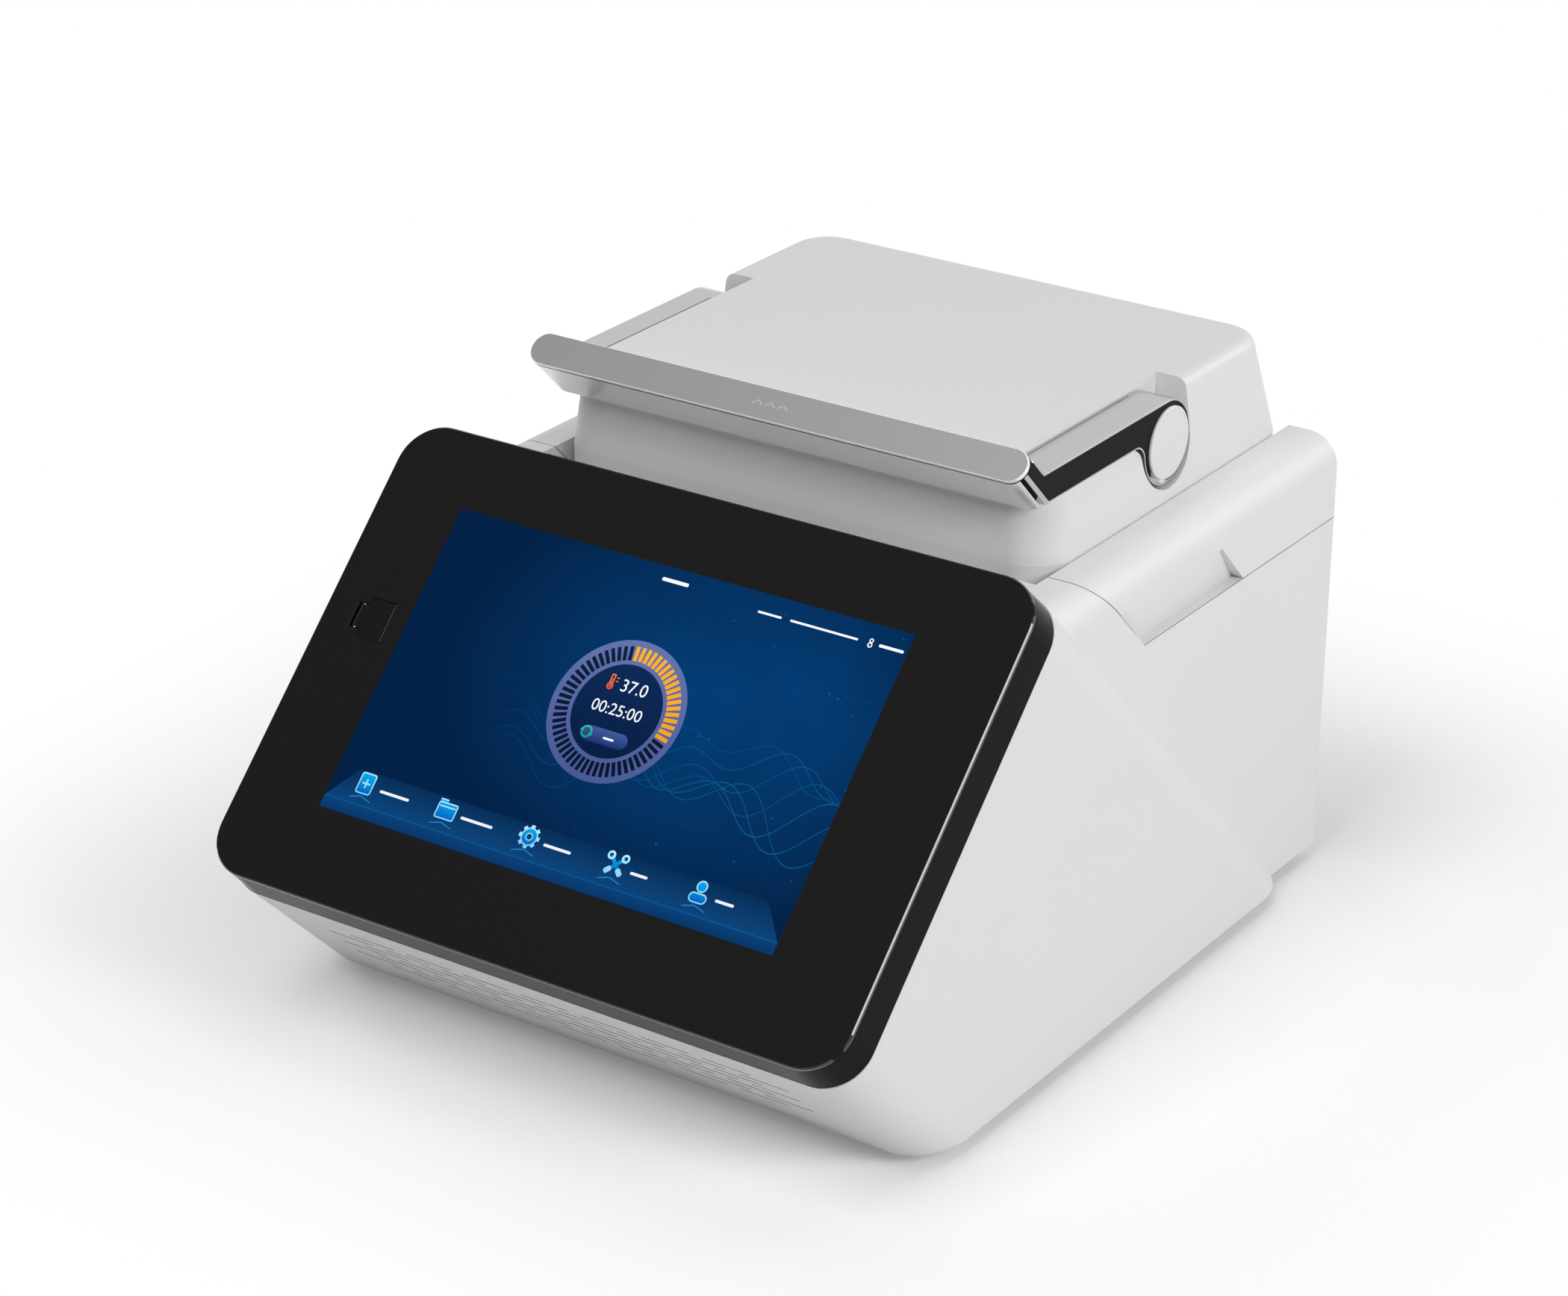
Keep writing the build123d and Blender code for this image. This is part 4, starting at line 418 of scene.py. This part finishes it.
def softened(nodeName, width):
    # a copy of a CAD node with its sharp edges rounded, in the node's place
    v = softValues
    node = nodes[nodeName]
    copy = node.copy()
    copy.data = node.data.copy()
    bpy.context.scene.collection.objects.link(copy)
    pick(copy, lambda co: True)
    bpy.ops.mesh.remove_doubles(threshold=v["merge"])
    bpy.ops.mesh.dissolve_limited(angle_limit=math.radians(v["flatAngle"]))
    bpy.ops.object.mode_set(mode="OBJECT")
    bevel = copy.modifiers.new("edges", "BEVEL")
    bevel.width = width * mm
    bevel.segments = v["segments"]
    bevel.limit_method = "ANGLE"
    bevel.angle_limit = math.radians(v["edgeAngle"])
    weigh = copy.modifiers.new("shading", "WEIGHTED_NORMAL")
    bpy.ops.object.modifier_apply(modifier=bevel.name)
    bpy.ops.object.shade_smooth_by_angle(angle=math.radians(v["smoothAngle"]))
    bpy.ops.object.modifier_apply(modifier=weigh.name)
    settle(copy, nodeName + "Soft", bodyOfNode[nodeName], materials[finishOfNode[nodeName]])
    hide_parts(nodeName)


flatValues = {"segments": 5, "sides": 96, "leastFlat": 0.01}


def flatBar(u, v, wide, high, corner=0.0, turn=0.0, segments=flatValues["segments"]):
    selectOnly()
    bpy.ops.mesh.primitive_plane_add(size=1, location=(u * mm, v * mm, 0),
                                     rotation=(0, 0, math.radians(turn)))
    bar = bpy.context.object
    bar.scale = (wide * mm, high * mm, 1)
    bpy.ops.object.transform_apply(location=False, rotation=False, scale=True)
    if corner:
        most = min(corner, min(wide, high) / 2 - flatValues["leastFlat"]) * mm
        bpy.ops.object.mode_set(mode="EDIT")
        bpy.ops.mesh.select_all(action="SELECT")
        bpy.ops.mesh.bevel(affect="VERTICES", offset=most, segments=segments)
        bpy.ops.object.mode_set(mode="OBJECT")
    return bar


def hollowed(shape, line):
    # only a line along the shape's outline is left
    bpy.ops.object.mode_set(mode="EDIT")
    bpy.ops.mesh.select_all(action="SELECT")
    bpy.ops.mesh.inset(thickness=line * mm)
    bpy.ops.mesh.delete(type="FACE")
    bpy.ops.object.mode_set(mode="OBJECT")
    return shape


def flatFrame(u, v, wide, high, corner, line):
    return hollowed(flatBar(u, v, wide, high, corner), line)


def flatRing(u, v, inner, outer, sides=flatValues["sides"]):
    selectOnly()
    bpy.ops.mesh.primitive_circle_add(vertices=sides, radius=outer * mm, fill_type="NGON",
                                      location=(u * mm, v * mm, 0))
    disc = bpy.context.object
    return hollowed(disc, outer - inner) if inner else disc


def flatWords(text, u, v, high):
    selectOnly()
    bpy.ops.object.text_add(location=(u * mm, v * mm, 0))
    words = bpy.context.object
    words.data.body = text
    words.data.size = high * mm
    words.data.align_x = "CENTER"
    words.data.align_y = "CENTER"
    bpy.ops.object.convert(target="MESH")
    return bpy.context.object


def onRing(u, v, radius, angle):
    return u + radius * math.cos(math.radians(angle)), v + radius * math.sin(math.radians(angle))


def drawn(rows, u=0, v=0):
    # a flat shape for each row about the point u, v: its kind, its offset and its sizes
    makers = {"bar": flatBar, "frame": flatFrame, "ring": flatRing}
    return [makers[kind](u + du, v + dv, *sizes) for kind, du, dv, *sizes in rows]


litValues = {"Base Color": (0, 0, 0, 1), "Roughness": 0.2, "Specular IOR Level": 0.014,
             "Emission Strength": 1.0}


def litFinish(name, low, high, reach):
    # a lit colour that changes from low to high over the reach, in millimetres up the glass
    finish = Finish(name, litValues)
    share = (finish.along(faceUp, glassCentre) / mm - reach[0]) / (reach[1] - reach[0])
    finish.drive("Emission Color", finish.mix(share, low + (1,), high + (1,)))
    return finish.material


markThick = 0.02
liftOfLayer = {"low": 0.02, "middle": 0.045, "top": 0.07}


def onGlass(name, shapes, finish, layer):
    mark = thickened(joined(shapes), markThick)
    settle(mark, name, "base", finish, facePlace(glassCentre, liftOfLayer[layer]))


def onLever(obj, name, slot, place):
    settle(obj, name, "lever", materials[finishOfSlot[slot]], place)


# The lever: rounded edges, a black strip of painted shade in the gap under the plate and a plain mark
# where a word would stand
leverEdges = {"grip_plate": 0.45, "grip_bar": 0.35, "lever_arm_left": 0.4, "lever_arm_right": 0.4,
              "arm_insert_left": 0.2, "arm_insert_right": 0.2}
# the black strip under the plate is painted shade for the gap between the plate and the bar
plateGapShadeValues = {"long": 236.66, "wide": 14.36, "corner": 14.3, "thick": 0.26, "segments": 20}
markValues = {"pitch": 6.0, "arm": 2.9, "line": 0.5, "turn": 38, "apart": 1.16}


def makePlateTrim(shadeStrip, mark):
    # painted shade: a thin black strip in the joint under the plate
    strip = flatBar(0, 0, shadeStrip["long"], shadeStrip["wide"], shadeStrip["corner"], segments=shadeStrip["segments"])
    onLever(thickened(strip, shadeStrip["thick"], -1), "plateGapShade", "insert_black",
            facePlace(plateCentre, -plateHalf))
    bars = []
    for i in (-1, 0, 1):
        for side in (-1, 1):
            bars.append(flatBar(i * mark["pitch"] + side * mark["apart"], 0, mark["arm"], mark["line"],
                                turn=-side * mark["turn"]))
    onLever(thickened(joined(bars), markThick), "plateMark", "lever_chrome",
            facePlace(plateCentre, plateHalf))


# Beside the bar's ends a black strip of painted shade in the gap to each arm, and on each arm's top a fine
# dark line of painted shade along its inner edge
# the black strips beside the bar's ends are painted shade in the gaps between the bar and the arms
armGapShadeValues = {"x": 113.1, "y": -9.84, "z": 234.67, "thick": 1.0, "long": 21.0, "deep": 1.96,
              "corner": 0.3, "turn": -45}
# the fine dark lines on the arms' tops are painted shade along their inner edges
armShadeLineValues = {"Left": {"x": -104.5, "wide": 0.4}, "Right": {"x": 100.95, "wide": 0.3},
              "from": 0.6, "to": 90.0, "z": 239.4, "corner": 0.1}


def makeArmTrim(slot, line):
    turned = (Matrix.Rotation(math.radians(90), 4, "Y")
              @ Matrix.Rotation(math.radians(slot["turn"]), 4, "Z"))
    for side, label in ((-1, "Left"), (1, "Right")):
        # painted shade: a black strip in the gap beside the bar's end
        strip = thickened(flatBar(0, 0, slot["deep"], slot["long"], slot["corner"]), slot["thick"], 0)
        at = Vector((side * slot["x"], slot["y"], slot["z"])) * mm
        onLever(strip, "armGapShade" + label, "insert_black", Matrix.Translation(at) @ turned)
        # painted shade: a fine black line along the arm top's inner edge
        own = line[label]
        strip = flatBar(own["x"], (line["from"] + line["to"]) / 2, own["wide"],
                        line["to"] - line["from"], line["corner"])
        onLever(thickened(strip, markThick), "armLineShade" + label, "insert_black",
                Matrix.Translation(axisZ * line["z"] * mm))


doorEdge = 0.4
for name, width in leverEdges.items():
    softened(name, width)
makePlateTrim(plateGapShadeValues, markValues)
makeArmTrim(armGapShadeValues, armShadeLineValues)
softened("usb_door", doorEdge)
print("lever dressed")

# The picture's marks: a ring gauge, a row of plain pictograms and bars where words would stand
gaugeValues = {
    "u": -1.3, "v": 7.4, "outer": 30.1, "tickOuter": 27.5, "tickInner": 21.5, "inner": 19.8,
    "ticks": 60, "tickWide": 1.6, "litFrom": 96.0, "litTo": -12.0,
    "degrees": ("37.0", 3.2, 10.5, 7.4), "time": ("00:25:00", 0, 0.2, 6.9),
    "thermometer": (-7.8, 11.0), "turnMark": (-8.7, -11.0),
    "button": ("bar", 0, -11.3, 21.5, 6.4, 3.1), "buttonMark": ("bar", 2.0, -11.6, 5.0, 0.9, 0.4),
    "ringLight": ((0.066, 0.1, 0.3), (0.13, 0.175, 0.42), (-22, 38)),
    "discLight": ((0.0012, 0.012, 0.055), (0.003, 0.022, 0.095), (-13, 27)),
    "darkLight": ((0.0014, 0.007, 0.03), (0.003, 0.014, 0.05), (-20, 35)),
    "amberLight": ((0.95, 0.33, 0.0), (1.0, 0.45, 0.02), (-12, 34)),
    "figureLight": ((0.85, 0.9, 1.0), (0.95, 0.97, 1.0), (-60, 60)),
    "buttonLight": ((0.006, 0.022, 0.14), (0.055, 0.11, 0.36), (-8, 0)),
}
bulbValues = {
    "light": ((0.85, 0.09, 0.02), (0.95, 0.25, 0.06), (15, 22)),
    "rows": (("bar", -0.7, 0.9, 0.5, 4.0), ("bar", 0.7, 0.9, 0.5, 4.0), ("bar", 0, 2.9, 1.9, 0.5, 0.2),
             ("ring", 0, -1.9, 0.9, 1.5, 32), ("ring", 0, -1.9, 0, 0.55, 24),
             ("bar", 0, -0.2, 0.35, 2.8), ("bar", 2.3, 1.9, 1.2, 0.45), ("bar", 2.3, 0.5, 1.2, 0.45)),
}
turnValues = {"light": ((0.0, 0.35, 0.25), (0.02, 0.62, 0.4), (-7, -1)), "radius": 2.2, "steps": 5,
              "from": 25, "step": 30, "wide": 0.7, "long": 1.25, "head": 168, "headSize": 1.05}


def turnRows(v):
    # two arrows that chase each other round a circle
    rows = []
    for half in (0, 180):
        for i in range(v["steps"]):
            angle = half + v["from"] + i * v["step"]
            rows.append(("bar", *onRing(0, 0, v["radius"], angle), v["wide"], v["long"], 0, angle))
        rows.append(("ring", *onRing(0, 0, v["radius"], half + v["head"]), 0, v["headSize"], 3))
    return rows


def makeGauge(v, bulb, turn, white):
    u, w = v["u"], v["v"]
    onGlass("gaugeRing", [flatRing(u, w, v["inner"], v["outer"])],
            litFinish("gaugeRingLight", *v["ringLight"]), "low")
    onGlass("gaugeDisc", [flatRing(u, w, 0, v["inner"])],
            litFinish("gaugeDiscLight", *v["discLight"]), "low")
    lit, dark = [], []
    step = 360 / v["ticks"]
    for i in range(v["ticks"]):
        angle = 90 - step * i
        turned = angle if angle > -180 else angle + 360
        tick = flatBar(*onRing(u, w, (v["tickInner"] + v["tickOuter"]) / 2, angle),
                       v["tickOuter"] - v["tickInner"], v["tickWide"], turn=angle)
        (lit if v["litTo"] <= turned <= v["litFrom"] else dark).append(tick)
    onGlass("gaugeTicksDark", dark, litFinish("gaugeDarkLight", *v["darkLight"]), "middle")
    onGlass("gaugeTicksLit", lit, litFinish("gaugeAmberLight", *v["amberLight"]), "middle")
    figures = [flatWords(text, u + du, w + dv, high) for text, du, dv, high in (v["degrees"], v["time"])]
    onGlass("gaugeFigures", figures, white, "middle")
    tube = drawn(bulb["rows"], u + v["thermometer"][0], w + v["thermometer"][1])
    onGlass("gaugeThermometer", tube, litFinish("bulbLight", *bulb["light"]), "middle")
    onGlass("gaugeButton", drawn([v["button"]], u, w), litFinish("buttonLight", *v["buttonLight"]),
            "middle")
    onGlass("gaugeButtonMark", drawn([v["buttonMark"]], u, w), white, "top")
    arrows = drawn(turnRows(turn), u + v["turnMark"][0], w + v["turnMark"][1])
    onGlass("gaugeTurnMark", arrows, litFinish("turnLight", *turn["light"]), "top")


white = litFinish("figureLight", *gaugeValues["figureLight"])
makeGauge(gaugeValues, bulbValues, turnValues, white)
print("gauge made")

# A leaning shelf along the picture's foot
dockValues = {"u": -1.85, "top": -45.2, "topHalf": 97.4, "bottomHalf": 108.3, "edge": -59.4,
              "low": -64.4, "rim": 0.45, "light": ((0.003, 0.058, 0.2), (0.001, 0.026, 0.095)),
              "frontLight": ((0.001, 0.037, 0.14), (0.002, 0.053, 0.2)),
              "rimLight": ((0.0, 0.07, 0.24), (0.0, 0.1, 0.3))}


def makeDock(v):
    wide = 2 * v["bottomHalf"]
    dock = flatBar(v["u"], (v["top"] + v["edge"]) / 2, wide, v["top"] - v["edge"])
    pick(dock, lambda co: co.y > 0)
    narrower = v["topHalf"] / v["bottomHalf"]
    bpy.ops.transform.resize(value=(narrower, 1, 1), center_override=dock.location)
    bpy.ops.object.mode_set(mode="OBJECT")
    onGlass("dock", [dock], litFinish("dockLight", *v["light"], (v["edge"], v["top"])), "low")
    below = (v["low"], v["edge"])
    front = flatBar(v["u"], (v["edge"] + v["low"]) / 2, wide, v["edge"] - v["low"])
    onGlass("dockFront", [front], litFinish("dockFrontLight", *v["frontLight"], below), "low")
    rim = flatBar(v["u"], v["edge"], wide, v["rim"])
    onGlass("dockRim", [rim], litFinish("dockRimLight", *v["rimLight"], below), "middle")


makeDock(dockValues)

iconValues = {
    "places": (-94.0, -53.7, -13.4, 27.7, 66.9), "v": -50.2,
    "words": (14.5, 15.5, 13.0, 8.0, 8.5), "wordFrom": 7.5, "wordV": -51.4, "wordHigh": 1.15,
    "wordCorner": 0.6, "baseHalf": 2.6, "baseV": -6.1, "baseLong": 5.4, "baseLine": 0.35, "baseTurn": 16,
    "lineLight": ((0.2, 0.6, 0.95), (0.5, 0.85, 1.0), (-56, -45)),
    "fillLight": ((0.0, 0.09, 0.5), (0.0, 0.42, 0.85), (-55, -46)),
    "baseLight": ((0.01, 0.22, 0.62), (0.02, 0.3, 0.75), (-58, -55)),
}
iconLine = 0.55
iconRows = (
    {"fill": (("bar", 0, 0, 7.4, 9.0, 1.2),),  # a sheet with a plus
     "line": (("frame", 0, 0, 7.4, 9.0, 1.2, iconLine), ("bar", 0, 0, 3.8, 0.7), ("bar", 0, 0, 0.7, 3.8))},
    {"fill": (("bar", 0, -0.6, 9.4, 7.0, 0.9), ("bar", -2.6, 3.3, 3.8, 1.6, 0.5)),  # a folder
     "line": (("frame", 0, -0.6, 9.4, 7.0, 0.9, iconLine), ("bar", -2.6, 3.8, 3.8, iconLine, 0.2),
              ("bar", 0, 1.1, 7.4, iconLine))},
    {"fill": (("ring", 0, 0, 1.4, 3.5, 40),),  # a toothed wheel
     "line": (("ring", 0, 0, 3.3, 3.8, 48), ("ring", 0, 0, 1.2, 1.6, 32),
              *(("bar", *onRing(0, 0, 4.3, angle), 1.0, 1.7, 0, angle) for angle in range(0, 360, 45)))},
    {"fill": (("bar", 0, 0, 9.0, 1.5, 0.6, 45), ("bar", 0, 0, 9.0, 1.5, 0.6, -45)),  # crossed tools
     "line": (("ring", -3.3, 3.3, 0.9, 1.8, 24), ("ring", 3.3, 3.3, 0.9, 1.8, 24),
              ("bar", 2.6, -2.6, 3.4, 2.2, 0.8, -45), ("bar", -2.6, -2.6, 3.4, 2.2, 0.8, 45))},
    {"fill": (("ring", 0, 2.3, 0, 2.1, 32), ("bar", 0, -2.4, 8.0, 4.2, 2.0)),  # a head and shoulders
     "line": (("ring", 0, 2.3, 1.9, 2.4, 40), ("frame", 0, -2.4, 8.0, 4.2, 2.0, iconLine))},
)
# along the picture's top: a heading, two readings, a small figure and its label
headRows = (("bar", -1.6, 64, 12.5, 1.5, 0.6), ("bar", 44, 61.6, 11, 0.9, 0.4),
            ("bar", 69, 61.6, 31, 0.9, 0.4), ("bar", 99.5, 61.6, 11, 1.2, 0.5),
            ("ring", 90.2, 62.6, 0.5, 0.95, 24), ("ring", 90.2, 60.8, 0.6, 1.1, 24))


def makeIcons(v, icons, heads, white):
    outlines, fills, bases, words = [], [], [], []
    for u, long, icon in zip(v["places"], v["words"], icons):
        for side in (-1, 1):
            bases.append(flatBar(u + side * v["baseHalf"], v["v"] + v["baseV"], v["baseLong"],
                                 v["baseLine"], 0, -side * v["baseTurn"]))
        words.append(flatBar(u + v["wordFrom"] + long / 2, v["wordV"], long, v["wordHigh"],
                             v["wordCorner"]))
        fills += drawn(icon["fill"], u, v["v"])
        outlines += drawn(icon["line"], u, v["v"])
    words += drawn(heads)
    onGlass("iconFills", fills, litFinish("iconFill", *v["fillLight"]), "middle")
    onGlass("iconOutlines", outlines, litFinish("iconLine", *v["lineLight"]), "top")
    onGlass("iconBases", bases, litFinish("baseLight", *v["baseLight"]), "middle")
    onGlass("wordBars", words, white, "middle")


makeIcons(iconValues, iconRows, headRows, white)
print("pictograms made")

# A pale floor that fades to white away from the object
stageValues = {"floorSize": 30.0, "floorColour": (0.85, 0.85, 0.85, 1), "seenColour": (1, 1, 1, 1),
               "rough": 0.9, "halfWide": 0.13, "halfDeep": 0.12, "middleY": 0.07, "fadeFrom": -0.02,
               "fadeTo": 0.3}


def makeFloor(v):
    selectOnly()
    bpy.ops.mesh.primitive_plane_add(size=v["floorSize"], location=(0, 0, 0))
    floor = bpy.context.object
    floor.name = "studioFloor"
    paper = Finish("studioPaper", {"Roughness": v["rough"]})
    seen = paper.seenRays()
    paper.drive("Base Color", paper.mix(seen, v["floorColour"], v["seenColour"]))
    # how far a point lies outside the object's footprint
    across = (paper.along(axisX, frameOrigin).size() - v["halfWide"]).calc("MAXIMUM", 0)
    along = (paper.along(axisY, axisY * v["middleY"]).size() - v["halfDeep"]).calc("MAXIMUM", 0)
    away = (across.calc("POWER", 2) + along.calc("POWER", 2)).calc("SQRT")
    fade = paper.add("ShaderNodeMapRange", {"interpolation_type": "SMOOTHSTEP"},
                     {"Value": away, "From Min": v["fadeFrom"], "From Max": v["fadeTo"]})
    white = paper.add("ShaderNodeEmission")
    faded = paper.add("ShaderNodeMixShader", {}, {0: fade * seen, 1: paper.surface, 2: white})
    paper.add("ShaderNodeOutputMaterial", {"is_active_output": True}, {0: faded})
    floor.data.materials.append(paper.material)


lampAim = Vector((0, 0, 0.12))
lampValues = {
    "topBox": {"at": (0.0, 0.35, 2.4), "size": 1.5, "power": 7.5},
    "leftBox": {"at": (-2.5, 0.8, 1.1), "size": 1.2, "power": 11.0},
    "backBox": {"at": (1.2, 2.4, 1.2), "size": 1.2, "power": 12.0},
    "rightBox": {"at": (2.25, -0.35, 1.4), "size": 0.9, "power": 33.0},
    "frontBox": {"at": (-0.2, -1.6, 2.4), "size": 1.2, "power": 27.5},
}


def makeLamps(v):
    for name, lamp in v.items():
        data = bpy.data.lights.new(name, "AREA")
        data.energy = lamp["power"]
        data.size = lamp["size"]
        light = bpy.data.objects.new(name, data)
        light.location = lamp["at"]
        light.rotation_euler = (lampAim - Vector(lamp["at"])).to_track_quat("-Z", "Y").to_euler()
        bpy.context.scene.collection.objects.link(light)


worldValues = {"colour": (1, 1, 1, 1), "light": 0.06, "seen": 1.0}


def makeWorld(v):
    world = bpy.data.worlds.new("studioWorld")
    bpy.context.scene.world = world
    sky = NodeTree(world)
    light, backdrop = (sky.add("ShaderNodeBackground", {}, {"Color": v["colour"], "Strength": v[key]})
                       for key in ("light", "seen"))
    mixed = sky.add("ShaderNodeMixShader", {}, {0: sky.seenRays(), 1: light, 2: backdrop})
    sky.add("ShaderNodeOutputWorld", {}, {0: mixed})
    bpy.context.scene.view_settings.view_transform = "Standard"


# The photo's camera, fitted to the display's corners and the case's edges
cameraValues = {"azimuth": 34.155, "elevation": 24.381, "roll": 0.3013, "near": 0.05, "far": 60,
                "offset": (0.8727, -1.1681, 0.6949), "focal": 5611.9, "imageWide": 2100, "sensor": 36.0}


def makeCamera(v):
    az, el, roll = (math.radians(v[k]) for k in ("azimuth", "elevation", "roll"))
    back = Vector((math.sin(az) * math.cos(el), -math.cos(az) * math.cos(el), math.sin(el)))
    right = Vector((math.cos(az), math.sin(az), 0))
    up = back.cross(right)
    turnedRight = right * math.cos(roll) + up * math.sin(roll)
    turnedUp = up * math.cos(roll) - right * math.sin(roll)
    data = bpy.data.cameras.new("studioCamera")
    data.sensor_width = v["sensor"]
    data.lens = v["focal"] / v["imageWide"] * v["sensor"]
    data.clip_start = v["near"]
    data.clip_end = v["far"]
    camera = bpy.data.objects.new("studioCamera", data)
    matrix = Matrix((turnedRight, turnedUp, back)).transposed().to_4x4()
    matrix.translation = glassCentre + Vector(v["offset"])
    camera.matrix_world = matrix
    bpy.context.scene.collection.objects.link(camera)
    bpy.context.scene.camera = camera


makeFloor(stageValues)
makeLamps(lampValues)
makeWorld(worldValues)
makeCamera(cameraValues)
print("floor, lamps and camera placed")
